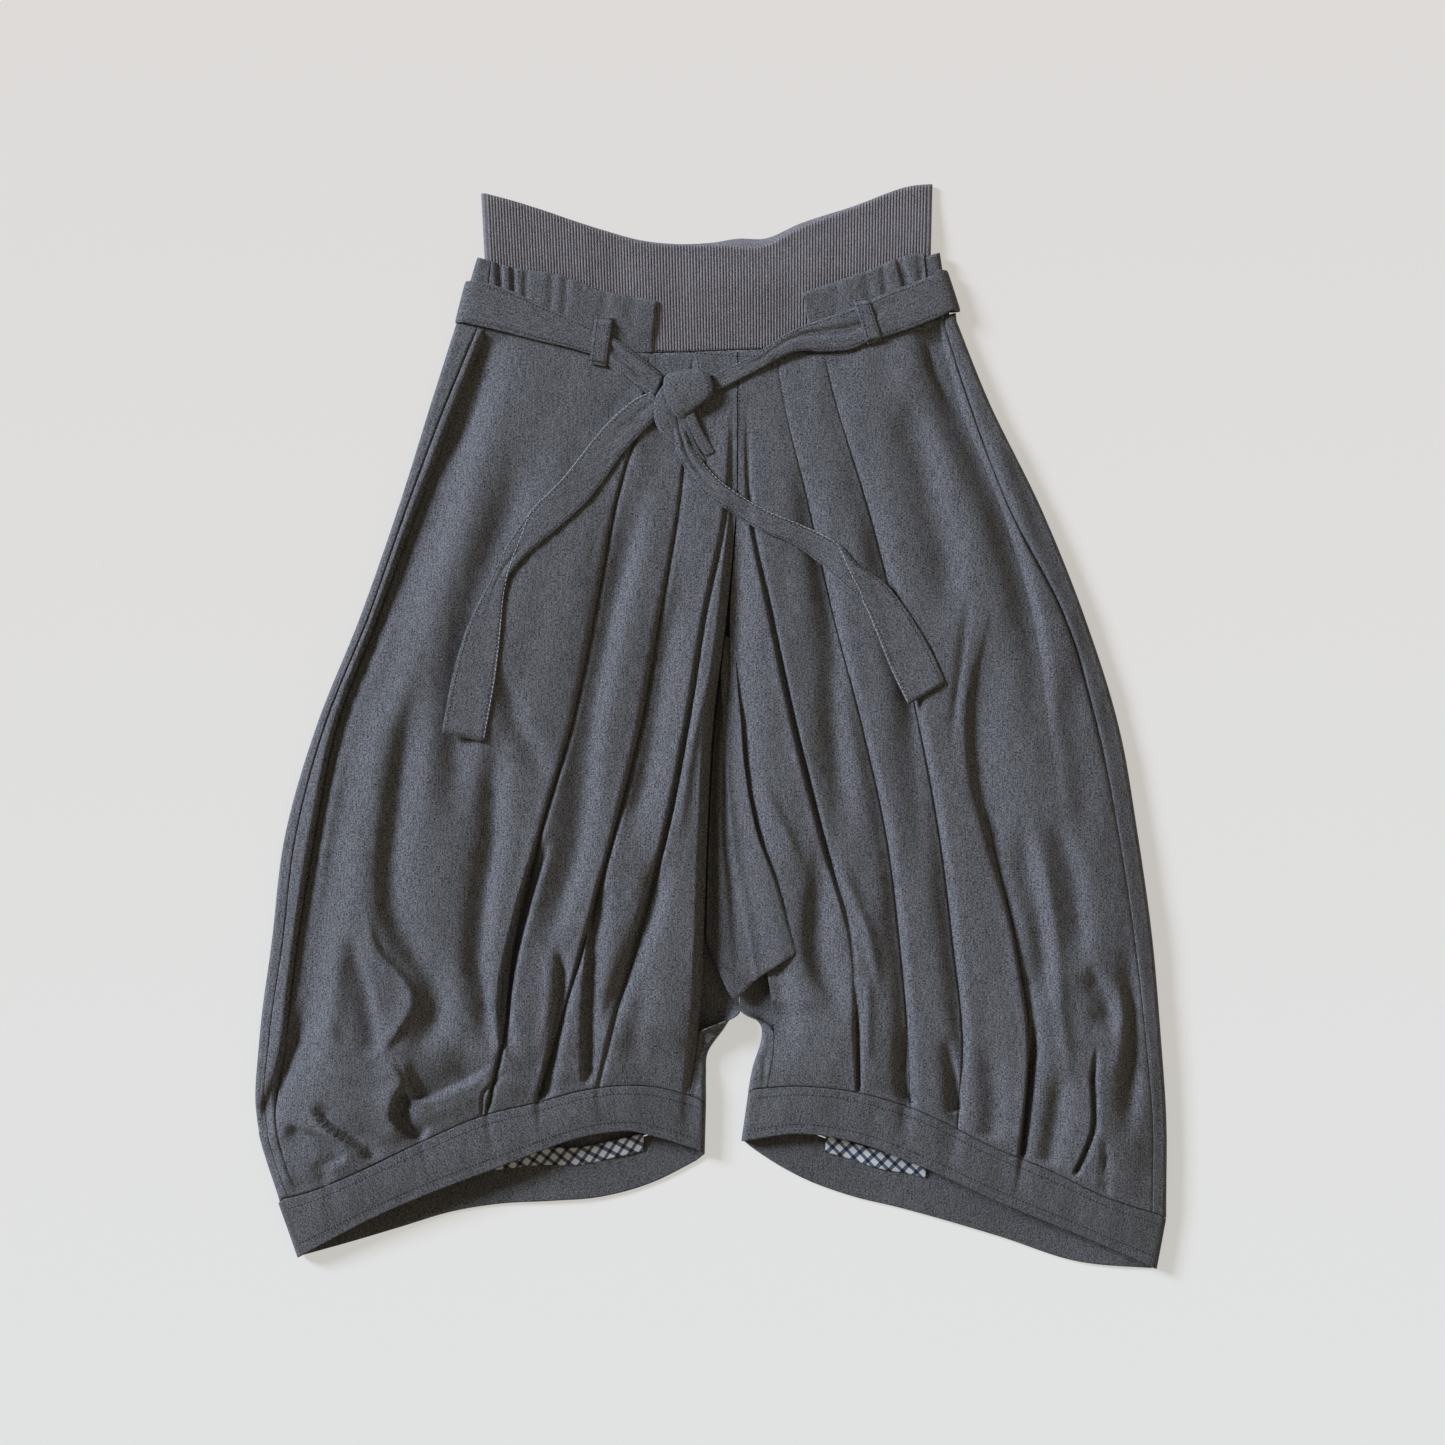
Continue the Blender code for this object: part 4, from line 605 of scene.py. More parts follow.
def make_leg_back(leg, name):
    """The back: flat on the floor, and wrapped over both side folds to the seams on the front."""
    side = leg.side
    turn = np.linspace(0, np.pi / 2, 9)
    kinds = [("wrap", t) for t in np.linspace(0, 1, 9)]
    kinds += [("upper", t) for t in turn[1:]]
    kinds += [("lower", t) for t in turn[:-1][::-1]]
    kinds += [("flat", f) for f in np.linspace(0, 1, 62)[1:-1]]
    kinds += [("inner lower", t) for t in turn[:-1]]
    kinds += [("inner upper", np.pi - t) for t in turn[::-1]]
    kinds += [("inseam", t) for t in np.linspace(0, 1, 7)[1:]]
    down = np.concatenate([np.linspace(0, 0.8, 90), np.linspace(0.8, 1, 70)[1:]])

    def place(kind, t, y):
        """x and z of a column at heights y."""
        flat_start = leg.outline(y) - side * SIDE_RADIUS
        if kind == "wrap":
            x = by_level(leg.seam.x, y) + side * SEAM_GAP / 2
            x = x + t * (flat_start - x)
            return x, leg.height(x, y)
        if kind in ("upper", "lower"):
            sign = 1 if kind == "upper" else -1
            x = flat_start + side * SIDE_RADIUS * np.sin(t)
            return x, leg.height(flat_start, y) / 2 * (1 + sign * np.cos(t))
        share = ease((CROTCH[1] - y) / CROTCH_ROLL)
        roll = np.maximum(share, 0.02)
        rolled_end = leg.inner_edge(y) + side * SIDE_RADIUS
        unrolled_end = CROTCH[0] + side * (SEAM_GAP / 2 + np.pi * SIDE_RADIUS + CROTCH_WRAP)
        flat_end = (1 - share) * unrolled_end + share * rolled_end
        if kind == "flat":
            x = flat_start + t * (flat_end - flat_start)
            soft = ease(t * 8) * ease((1 - t) * 8)
            wave = 0.5 + 0.5 * np.sin(x / 17 + 0.6 * np.sin(y / 60)) + unevenness(-x, y) * 0.5
            return x, soft * wave.clip(0)
        angle = np.pi if kind == "inseam" else t
        half_height = leg.height(rolled_end, y) / 2 * (0.4 + 0.6 * share)
        x = flat_end - side * SIDE_RADIUS / roll * np.sin(roll * angle)
        z = half_height / roll * (1 - np.cos(roll * angle))
        if kind == "inseam":
            inseam = by_level(leg.centre.x, y) - side * SEAM_GAP / 2
            wrap = t * (CROTCH_WRAP + share ** 3 * (np.abs(inseam - rolled_end) - CROTCH_WRAP))
            along_x = -side * SIDE_RADIUS * np.cos(roll * np.pi)
            along_z = half_height * np.sin(roll * np.pi)
            length = np.hypot(along_x, along_z)
            x = x + wrap * along_x / length
            z = z + wrap * along_z / length + share ** 4 * (leg.height(x, y) - leg.height(rolled_end, y))
        return x, z

    shares = {"wrap": 0, "inseam": 0, "flat": 1}
    outer = np.zeros((len(down), len(kinds), 3))
    for c, (kind, t) in enumerate(kinds):
        share = shares.get(kind, t / np.pi if kind == "upper" else 1 - t / np.pi)

        def waist_rule(y, kind=kind, t=t):
            return float(waist_y(place(kind, t, np.array(y))[0]))

        def hem_rule(y, kind=kind, t=t, share=share):
            x = place(kind, t, np.array(y))[0]
            return float((1 - share) * leg.hem_y(x) + share * leg.back_hem_y(x))

        top, low = settled(waist_rule, NEAR_WAIST, 12), settled(hem_rule, NEAR_HEM, 12)
        y = top - SEAM_GAP / 2 + (low - top + SEAM_GAP / 2 + HEM_GAP / 2) * down
        x, z = place(kind, t, y)
        outer[:, c] = grid_of(x, y, z)
    around = running(np.hypot(np.diff(outer[:, :, 0], axis=1), np.diff(outer[:, :, 2], axis=1)))
    inner = inward(outer, CLOTH, flipped=side < 0)
    return shell(name, outer, inner, grid_of(around, outer[:, :, 1]), woven)


def make_hem_band(leg, name):
    """The hem band, a flattened loop whose mouth stands open, and the grid of its front."""
    side = leg.side
    ends = (0, -1) if side < 0 else (-1, 0)
    top_ends = [leg.hem_seam[i][0] for i in ends]
    low_ends = [leg.front_hem[i][0] for i in ends]
    turn = np.linspace(0, np.pi, 13)[1:-1]
    start = -side * SIDE_RADIUS
    span = top_ends[1] - top_ends[0] - 2 * start
    fractions = np.linspace(0, 1, 170)
    row = np.linspace(0, 1, 30)[:, None]

    def station(row, end, inset, share):
        """x and y at a distance in from one end. share goes from the front layer to the back layer."""
        x_top = top_ends[end] + inset
        x_low = low_ends[end] + inset * (low_ends[1] - low_ends[0]) / (top_ends[1] - top_ends[0])
        y_top = (1 - share) * leg.hem_y(x_top) + share * leg.back_hem_y(x_top) - HEM_GAP * (0.5 + share)
        y_low = (1 - share) * curve(leg.front_hem, x_low) + share * curve(leg.back_hem, x_low)
        return x_top + row * (x_low - x_top), y_top + row * (y_low - y_top)

    x, y = station(row, 0, start + fractions * span, 0.0)
    x_seam, y_seam = station(0.0, 0, start + fractions * span, 0.0)
    seam_z = leg.height(x_seam, y_seam + HEM_GAP)
    open_z = SIDE_HEIGHT + (HEM_HEIGHT + 1.5 - SIDE_HEIGHT) * np.sin(np.pi * fractions) ** 0.7
    z = seam_z + ease(row) * (open_z - seam_z) + 0.6 * unevenness(x * 1.5, y) * np.sin(np.pi * row) ** 0.5
    away_from_ends = ease(fractions * 12) * ease((1 - fractions) * 12)
    z = z + 0.9 * np.sin(np.pi * np.clip(row * 1.15, 0, 1)) * away_from_ends
    front = grid_of(x, y, z)

    def curl(end, sign, tall):
        points = []
        for t in turn:
            x, y = station(row[:, 0], end, sign * SIDE_RADIUS * (1 - np.sin(t)), t / np.pi)
            points.append(grid_of(x, y, tall / 2 * (1 + np.cos(t))))
        return np.stack(points, axis=1)

    backs = fractions[::2][::-1]
    x, y = station(row, 0, start + backs * span, 1.0)
    lift = 0.5 * (1 + np.sin(x / 23)) * ease(backs * 10) * ease((1 - backs) * 10)
    back = grid_of(x, y, lift)
    outer = np.concatenate([front, curl(1, side, z[:, -1]), back, curl(0, -side, z[:, 0])[:, ::-1]], axis=1)
    inner = inward(outer, BAND_CLOTH, ring=True, flipped=side > 0)
    around = running(np.linalg.norm(np.diff(outer, axis=1), axis=2))
    uv = grid_of(around, -row * HEM_BAND_DEPTH)
    # The band is made in the darker copy of the wool, painted shade for a band that lies turned away from
    # the light.
    return shell(name, outer, inner, uv, woven_painted_shade, ring=True), front


def make_binding(leg, name):
    """The binding along the back seam allowance, on the inside of the hem band."""
    across = np.linspace(*BINDING_SPAN[leg.side < 0], 120)
    down = np.linspace(3, -10.5, 12)[:, None]
    x, down = np.broadcast_arrays(across, down)
    y = leg.back_hem_y(x) + down - 0.8 * np.sin(x / 9)
    z = BAND_CLOTH + 1.5 + 0.4 * np.sin(x / 6) + 0.25 * (down + 10)
    grid = grid_of(x, y, z)
    return shell(name, grid, grid - np.array([0, 0, BINDING_CLOTH]), grid_of(x, down), binding)


def make_rib():
    """The rib-knit waistband, a flattened tube with ribs all round over a plain inside."""
    per_rib = 6
    step = per_rib // 2
    ribs = int((RIB_SIDES[0][1] - RIB_SIDES[0][0] - 2 * RIB_FOLD) / RIB_PITCH)
    front = np.arange(ribs * per_rib + 1) / (ribs * per_rib)
    back = front[::-1][::2]
    turn = np.linspace(0, np.pi, 11)[1:-1]
    down = np.linspace(0, 1, 40)[:, None]
    left, right = (RIB_SIDES[0][end] + down * (RIB_SIDES[1][end] - RIB_SIDES[0][end]) for end in (0, 1))
    span = right - left - 2 * RIB_FOLD
    low = RIB_UNDER * ease(down * 2.2)

    def y_at(f, edge):
        x = left + RIB_FOLD + f * span
        top = curve(edge, left[0] + RIB_FOLD + f * span[0])
        return top + down * (waist_y(x) + 0.6 - top)

    groove = RIB_RELIEF * (1 - np.abs(np.sin(np.pi * front * ribs)) ** 0.7)
    x = left + RIB_FOLD + front * span
    y = y_at(front, RIB_TOP_EDGE)
    soft = 0.9 * np.sin(x / 31 + 1.0) * np.sin(np.pi * down) + 0.5 * unevenness(x, y * 0.4)
    pucker = 1.5 * np.exp(-((x + 92) / 9) ** 2) - 1.2 * np.exp(-((x + 70) / 7) ** 2)
    pucker = pucker * (1 - down) ** 2
    plain = low + RIB_TOP - RIB_UNDER + (soft + pucker) * np.sin(np.pi * np.clip(down * 0.9 + 0.1, 0, 1))
    rounded = 0.9 * ease(down / 0.03) - 0.9
    parts = [grid_of(x, y, plain - groove + rounded)]
    insides = [grid_of(x, y, plain - RIB_CLOTH - 0.4)[:, ::per_rib]]
    col_ids = list(range(0, len(front), per_rib))
    for end, f, sign in ((right, 1.0, 1), (left, 0.0, -1)):
        tall = (plain[:, -1:] if sign > 0 else plain[:, :1]) - low
        curls, inner_curls = [], []
        for t in turn if sign > 0 else turn[::-1]:
            y_front, y_back = y_at(f, RIB_TOP_EDGE), y_at(f, RIB_BACK_EDGE)
            y = y_front * (0.5 + 0.5 * np.cos(t)) + y_back * (0.5 - 0.5 * np.cos(t))
            curls.append(np.concatenate([end - sign * RIB_FOLD * (1 - np.sin(t)), y,
                                         low + tall / 2 * (1 + np.cos(t))], axis=1))
            inner_curls.append(np.concatenate([end - sign * (RIB_FOLD + (1.2 - RIB_FOLD) * np.sin(t)), y,
                                               low + tall / 2 + (tall / 2 - 1.2) * np.cos(t)], axis=1))
        start = sum(p.shape[1] for p in parts)
        parts.append(np.stack(curls, axis=1))
        insides.append(np.stack(inner_curls, axis=1))
        col_ids += range(start, start + len(turn))
        if sign > 0:
            x = left + RIB_FOLD + back * span
            y = y_at(back, RIB_BACK_EDGE)
            shallow = 0.35 * (1 - np.abs(np.sin(np.pi * back * ribs)))
            start += len(turn)
            parts.append(grid_of(x, y, low + shallow))
            insides.append(grid_of(x, y, low + RIB_CLOTH)[:, ::step])
            col_ids += range(start, start + len(back), step)
    outer, inner = np.concatenate(parts, axis=1), np.concatenate(insides, axis=1)
    around = running(np.abs(np.diff(outer[:, :, 0], axis=1)))
    turns = around[:1] * ribs * RIB_PITCH / (span[0, 0])
    row_ids = every(len(down), 4)
    uv = grid_of(turns, outer[:, :, 1])
    return shell("cloth_rib_waistband", outer, inner[row_ids], uv, rib, row_ids, col_ids, ring=True)


# Puckers of the woven waistband, left half first: place at its top in pixels, then depth and reach in
# millimetres, and lean
PUCKERS = (
    ((500, 275, 3.4, 2.2, -0.05), (513, 277, 3.0, 1.8, -0.03), (526, 280, 1.4, 2.6, 0.02),
     (552, 284, 1.2, 3.2, 0.05), (566, 288, 1.0, 3.0, 0.08), (605, 300, 1.0, 4.5, 0.1),
     (632, 305, 0.6, 5.0, 0.1), (487, 270, 1.6, 2.0, 0.0)),
    ((836, 296, 0.8, 5.0, -0.1), (868, 284, 1.0, 4.0, -0.1), (884, 278, 1.2, 3.0, -0.1),
     (903, 272, 3.6, 2.6, -0.28), (921, 268, 1.2, 3.0, -0.1), (936, 262, 1.0, 2.4, 0.0)),
)


def puckers_at(x, y, puckers):
    rise = np.full(np.shape(x), 1.2)
    for px, py, depth, reach, lean in puckers:
        at_x, at_y = spot(px, py)
        rise = rise - depth * np.exp(-((x - at_x - lean * (y - at_y)) / reach) ** 2)
    return rise


def make_waist_front(name, half):
    """One front half of the woven outer waistband, from the side seam to its end near the centre."""
    side = (-1, 1)[half]
    across = np.linspace(0, 1, 170)
    rows = np.linspace(0, 1, 50)
    grid = np.zeros((len(rows), len(across), 3))
    for c, f in enumerate(across):
        def x_at(y, f=f):
            start = curve(WAIST_SIDE_SEAM[half], y) - side * SEAM_GAP / 2
            return start + f * (curve(WAIST_END[half], y) - start)

        y_top = settled(lambda y: float(curve(WAIST_TOP[half], x_at(y))), NEAR_WAIST_TOP, 8)
        y_low = settled(lambda y: float(waist_y(x_at(y))) + SEAM_GAP / 2, NEAR_WAIST, 8)
        y = y_top + (y_low - y_top) * rows
        x = x_at(y)
        flatten = ease((y - y_low) / 20)
        rise = np.maximum(puckers_at(x, y, PUCKERS[half]), -1.2)
        edge = 0.8 * (ease(rows / 0.05) - 1) + 0.8 * (ease((1 - f) / 0.015) - 1)
        grid[:, c] = grid_of(x, y, WAIST_FRONT_TOP + flatten * rise + edge + 0.5 * unevenness(x, y))
    if side > 0:
        grid = grid[:, ::-1]
    return shell(name, grid, grid - np.array([0, 0, CLOTH]), grid[:, :, :2], woven)


def make_waist_back():
    """The back of the woven waistband, wrapped over both sides to the side seams."""
    turn = np.linspace(0, np.pi, 15)
    flap = np.linspace(0, 1, 7)[:-1]
    middle = (WAIST_FRONT_TOP + WAIST_BACK_UNDER) / 2
    half = WAIST_FRONT_TOP - middle

    def edge_x(side, t, y):
        sign = (-1, 1)[side]
        return curve(WAIST_OUTLINE[side], y) - sign * WAIST_FOLD * (1 - np.sin(t))

    def flap_x(side, t, y):
        seam = curve(WAIST_SIDE_SEAM[side], y) + (-1, 1)[side] * SEAM_GAP / 2
        return seam + t * (edge_x(side, 0, y) - seam)

    columns = [(lambda y, t=t: flap_x(0, t, y), WAIST_FRONT_TOP) for t in flap]
    columns += [(lambda y, t=t: edge_x(0, t, y), middle + half * np.cos(t)) for t in turn]
    columns += [(lambda y, f=f: edge_x(0, 0, y) * (1 - f) + edge_x(1, 0, y) * f,
                 WAIST_BACK_UNDER + 0.5 * math.sin(40 * f) ** 2) for f in np.linspace(0, 1, 120)[1:-1]]
    columns += [(lambda y, t=t: edge_x(1, t, y), middle + half * np.cos(t)) for t in turn[::-1]]
    columns += [(lambda y, t=t: flap_x(1, t, y), WAIST_FRONT_TOP) for t in flap[::-1]]
    rows = np.linspace(0, 1, 26)
    outer = np.zeros((len(rows), len(columns), 3))
    for c, (x_at, z) in enumerate(columns):
        y_top = settled(lambda y: float(curve(WAIST_BACK_TOP, x_at(y))), NEAR_WAIST_TOP, 10)
        y_low = settled(lambda y: float(waist_y(x_at(y))) + SEAM_GAP + 0.15, NEAR_WAIST, 10)
        y = y_top + (y_low - y_top) * rows
        outer[:, c] = grid_of(x_at(y), y, z)
    uv = grid_of(np.cumsum(np.full(outer.shape[:2], 1.5), axis=1), outer[:, :, 1])
    return shell("cloth_waistband_back", outer, inward(outer, CLOTH, flipped=True), uv, woven)


def band(name, middle, cloth, bulge, dent, uv):
    """A strap as a closed band with rounded long edges, from its middle surface, and its top's grid."""
    normal = np.cross(np.gradient(middle, axis=0), np.gradient(middle, axis=1))
    normal = normal / (np.linalg.norm(normal, axis=2, keepdims=True) + 1e-12)
    if normal[:3, :, 2].mean() < 0:
        normal = -normal
    across = np.sin(np.linspace(-1, 1, middle.shape[1])[None, :, None] * np.pi / 2)
    round_off = np.sqrt(np.clip(1 - np.abs(across) ** 12, 0.02, 1))
    crown = bulge * (1 - across ** 2) - dent[:, :, None]
    upper = middle + normal * (cloth / 2 * round_off + crown)
    lower = middle - normal * (cloth / 2 * round_off)
    return shell(name, upper, lower, uv, woven), upper


def ground(x, y):
    """Highest level of the leg fronts, waistbands and rib close to a point."""
    x, y = np.asarray(x, float), np.asarray(y, float)
    best = np.full(np.shape(x), RIB_TOP + 0.5)
    for dx in (-4, 0, 4):
        for dy in (-5, 0, 5):
            px, py = x + dx, y + dy
            split = by_level(LEFT.centre.x, py)
            cloth = np.where(px < split, LEFT.height(px, py), RIGHT.height(px, py))
            best = np.maximum(best, np.where(py > waist_y(px) - 2, WAIST_FRONT_TOP + 1.4, cloth))
    return best


# A strap's stations: its two edges in pixels, how far its middle lifts off what is under it, and the depth
# and place across the strap of a lengthwise groove
BELT_LEFT = (
    ((664, 377), (655, 398), 0.6, 1.6, 0.5), ((641, 358), (633, 386), 0.6, 2.8, 0.5),
    ((618, 341), (610, 367), 0.4, 2.6, 0.42), ((602, 333), (596, 357), 0.1, 0.6, 0.3),
    ((577, 321), (572, 349), 0.1, 0, 0.5), ((543, 306), (538, 341), 0.15, 0, 0.5),
    ((511, 291), (507, 333), 0.1, 0, 0.5), ((479, 281), (473, 325), 0, 0, 0.5),
)
BELT_RIGHT = (
    ((930, 277), (938, 318), 0, 0, 0.5), ((905, 286), (913, 328), 0.3, 0, 0.5),
    ((884, 294), (886, 337), 0.2, 0.6, 0.3), ((866, 303), (872, 341), 0.3, 1.6, 0.5),
    ((845, 311), (850, 350), 0.5, 2.8, 0.5), ((820, 320), (824, 352), 0.6, 2.8, 0.42),
    ((790, 332), (793, 353), 0.6, 1.4, 0.35), ((752, 356), (756, 372), 0.5, 0.3, 0.45),
    ((711, 376), (712, 395), 0.6, 0.2, 0.5),
)
STRAP_COLUMNS = 19
STRAP_BULGE = 0.12
BELT_FOLD = 9.0
BELT_SIDES = (((-180.5, 327.5), (-188.3, 296.8)), ((173.0, 335.5), (182.8, 305.4)))
BELT_BACK = (((-171, 328), (-179, 297)), ((162, 335), (172, 305)))
BELT_BACK_SAG = 18.0
BELT_CLOTH = 1.5
BELT_REST = BELT_CLOTH / 2 + 0.15
TAIL_LEFT = (
    ((652, 392), (664, 412), 2.0, 1.2, 0.5), ((632, 402), (653, 423), 0.8, 0.8, 0.5),
    ((601, 431), (624, 454), 0.2, 0.2, 0.5), ((564, 478), (591, 499), 0.1, 0, 0.5),
    ((530, 513), (556, 532), 0.2, 0, 0.5), ((509, 545), (524, 560), 0.9, 0.9, 0.6),
    ((494, 576), (507, 586), 0.6, 0.7, 0.4), ((471, 622), (502, 636), 0.1, 0, 0.5),
    ((455, 672), (497, 680), 0.1, 0, 0.5), ((443, 733), (486, 742), 0, 0, 0.5),
)
TAIL_RIGHT = (
    ((686, 432), (672, 428), 2.4, 1.6, 0.5), ((697, 455), (680, 460), 1.6, 1.8, 0.5),
    ((716, 478), (700, 490), 0.5, 0.8, 0.5), ((740, 496), (727, 511), 0.2, 0.2, 0.5),
    ((770, 513), (759, 531), 0.1, 0, 0.5), ((800, 525), (792, 545), 0.1, 0, 0.5),
    ((836, 543), (824, 568), 0.3, 0.2, 0.4), ((858, 566), (845, 588), 0.9, 1.0, 0.45),
    ((884, 584), (862, 604), 0.4, 0.4, 0.4), ((905, 610), (873, 628), 0.1, 0, 0.5),
    ((927, 646), (889, 668), 0.1, 0, 0.5), ((944, 683), (907, 705), 0, 0, 0.5),
)
LOOP_CLOTH = 1.0
LOOP_RAISED = (0.13, 0.9)


def smooth_runs(rows, steps):
    """The two edges of a strap in millimetres and its other values, all smooth from station to station."""
    one, two, *values = zip(*rows)
    at = np.linspace(0, len(rows) - 1, (len(rows) - 1) * steps + 1)
    edges = [smooth_path(one, steps), smooth_path(two, steps)]
    return edges + [curve(enumerate(value), at) for value in values]


def strap_uv(share, one, two, centre):
    """Cloth coordinates of a strap, across between its two edges and along its centre line."""
    width = np.linalg.norm(one - two, axis=1)
    return grid_of(share[None] * width[:, None], path_length(centre)[:, None])


def strap_middle(stations):
    """Middle surface of a strap laid over what is under it, its dents, and its cloth coordinates."""
    upper, lower, lift, groove, place = smooth_runs(stations, 9)
    share = crowded(STRAP_COLUMNS)
    flat = between(upper, lower, share)
    base = ground(flat[:, :, 0], flat[:, :, 1])
    level = base.max(axis=1)
    for _ in range(8):
        padded = np.concatenate([[level[0]], level, [level[-1]]])
        level = np.maximum(level, (padded[:-2] + padded[2:]) / 2)
    z = np.maximum(base, level[:, None] - 1.0)
    z = z + 0.4 + BELT_CLOTH / 2 + np.maximum(lift, 0)[:, None] * (1 - np.abs(2 * share[None] - 1) ** 3)
    z = z + 0.15 * unevenness(flat[:, :, 0] * 2, flat[:, :, 1] * 2)
    dent = np.maximum(groove, 0)[:, None] * np.exp(-((share[None] - place[:, None]) / 0.09) ** 2)
    return np.dstack([flat, z]), dent, strap_uv(share, upper, lower, flat[:, STRAP_COLUMNS // 2])


def make_strap(name, stations):
    middle, dent, uv = strap_middle(stations)
    return band(name, middle, BELT_CLOTH, STRAP_BULGE, dent, uv)


def make_belt():
    """The belt, one strap from the knot round the back to the knot, and the grids of its halves' tops."""
    left, left_dent, _ = strap_middle(BELT_LEFT)
    right, right_dent, _ = strap_middle(BELT_RIGHT)
    share = crowded(STRAP_COLUMNS)
    across = share[:, None]
    turn = np.linspace(0, np.pi, 14)[1:-1]
    sides = []
    for (up, low), sign, tall in ((BELT_SIDES[0], -1, left[-1, :, 2].mean()),
                                  (BELT_SIDES[1], 1, right[0, :, 2].mean())):
        rows = []
        for t in turn:
            shift = np.array([-sign * BELT_FOLD * (1 - np.sin(t)), 0])
            flat = np.array(up) * (1 - across) + np.array(low) * across + shift
            z = BELT_REST + (tall - BELT_REST) / 2 * (1 + np.cos(t))
            rows.append(np.column_stack([flat, np.full(len(flat), z)]))
        sides.append(np.array(rows))
    back = []
    for f in np.linspace(0, 1, 60):
        sag = np.array([0, 4 * BELT_BACK_SAG * f * (1 - f)])
        up, low = [(1 - f) * np.array(a) + f * np.array(b) - sag for a, b in zip(*BELT_BACK)]
        back.append(np.column_stack([up * (1 - across) + low * across, np.full(len(across), BELT_REST)]))
    middle = np.concatenate([left, sides[0], np.array(back), sides[1][::-1], right])
    dent = np.zeros(middle.shape[:2])
    dent[:len(left)] = left_dent
    dent[-len(right):] = right_dent
    uv = strap_uv(share, middle[:, 0], middle[:, -1], middle[:, STRAP_COLUMNS // 2])
    piece, top = band("cloth_belt_round", middle, BELT_CLOTH, STRAP_BULGE, dent, uv)
    return piece, top[:len(left)], top[-len(right):]


def make_loop(name, top_corners, low_corners, belt_level):
    """A belt loop: sewn down at both ends, and raised over the belt between the shares in LOOP_RAISED."""
    down = np.linspace(0, 1, 60)
    share = crowded(11)
    top = [spot(*p) for p in top_corners]
    low = [spot(*p) for p in low_corners]
    left, right = (top[end] * (1 - down[:, None]) + low[end] * down[:, None] for end in (0, 1))
    flat = between(left, right, share)
    level = ground(flat[:, :, 0], flat[:, :, 1]).max(axis=1) + 0.9
    over = ease((down - LOOP_RAISED[0] + 0.09) / 0.09) * ease((LOOP_RAISED[1] + 0.08 - down) / 0.08)
    z = level + over * (belt_level - level)
    width = np.linalg.norm(top[0] - top[1])
    dent = np.zeros(flat.shape[:2])
    for bar_tack in (0.06, 0.94):
        dent += 0.5 * np.exp(-((down - bar_tack) / 0.02) ** 2)[:, None]
    uv = grid_of(share[None] * width, flat[:, :, 1])
    return band(name, grid_of(flat[:, :, 0], flat[:, :, 1], z[:, None]), LOOP_CLOTH, 0.1, dent, uv)


# Strips of the knot: both edges in pixels and the height of the strip's middle above the ground
KNOT_WRAP = (
    ((667, 375), (702, 369), 2.2), ((664, 380), (709, 375), 4.4), ((664, 389), (713, 386), 5.4),
    ((666, 400), (712, 397), 5.6), ((671, 411), (700, 407), 5.0), ((676, 418), (690, 414), 3.6),
    ((680, 422), (686, 419), 1.8),
)
KNOT_LOBE = (
    ((663, 386), (676, 382), 1.6), ((656, 398), (674, 395), 3.0), ((654, 415), (675, 407), 3.8),
    ((659, 431), (677, 419), 3.6), ((670, 444), (680, 429), 2.8), ((678, 449), (684, 435), 1.6),
)
KNOT_FANS = (
    (((676, 416), (684, 414), 2.4), ((680, 432), (690, 428), 3.0), ((688, 450), (697, 446), 2.6),
     ((699, 466), (707, 461), 1.8)),
    (((684, 414), (694, 411), 3.0), ((689, 428), (699, 424), 3.0), ((696, 443), (706, 438), 2.4),
     ((706, 457), (716, 453), 1.6)),
)


def make_strip(name, strips, crown, cloth=1.6):
    """One fold of the knot, a puffed strip that rises off the ground and comes down again."""
    one, two, rise = smooth_runs(strips, 8)
    share = crowded(17)
    flat = between(one, two, share)
    arch = (1 - np.abs(2 * share - 1) ** 3.5) ** 0.6
    z = KNOT_LEVEL + rise[:, None] - crown * (1 - arch[None]) * np.minimum(rise[:, None] / 3, 1)
    middle = np.dstack([flat, z])
    return band(name, middle, cloth, 0.2, np.zeros(z.shape), strap_uv(share, one, two, middle[:, 8]))


# Crotch piece: its edges as (x, y) points from the top down
CROTCH_LEFT = ((10, 66), (6, 30), (2, -12), (-1, -60), (-3, -110), (-4, -158))
CROTCH_RIGHT = ((17, 66), (19, 34), (22, 4), (25, -32), (33, -76), (47, -113), (58, -150), (63, -166))
CROTCH_BOTTOM = ((-4, -158), (5, -180), (17, -200), (32, -187), (47, -176), (63, -166))
CROTCH_FLOOR = 6.0
CROTCH_RISE = 5.0
CROTCH_LIFT = 1.2


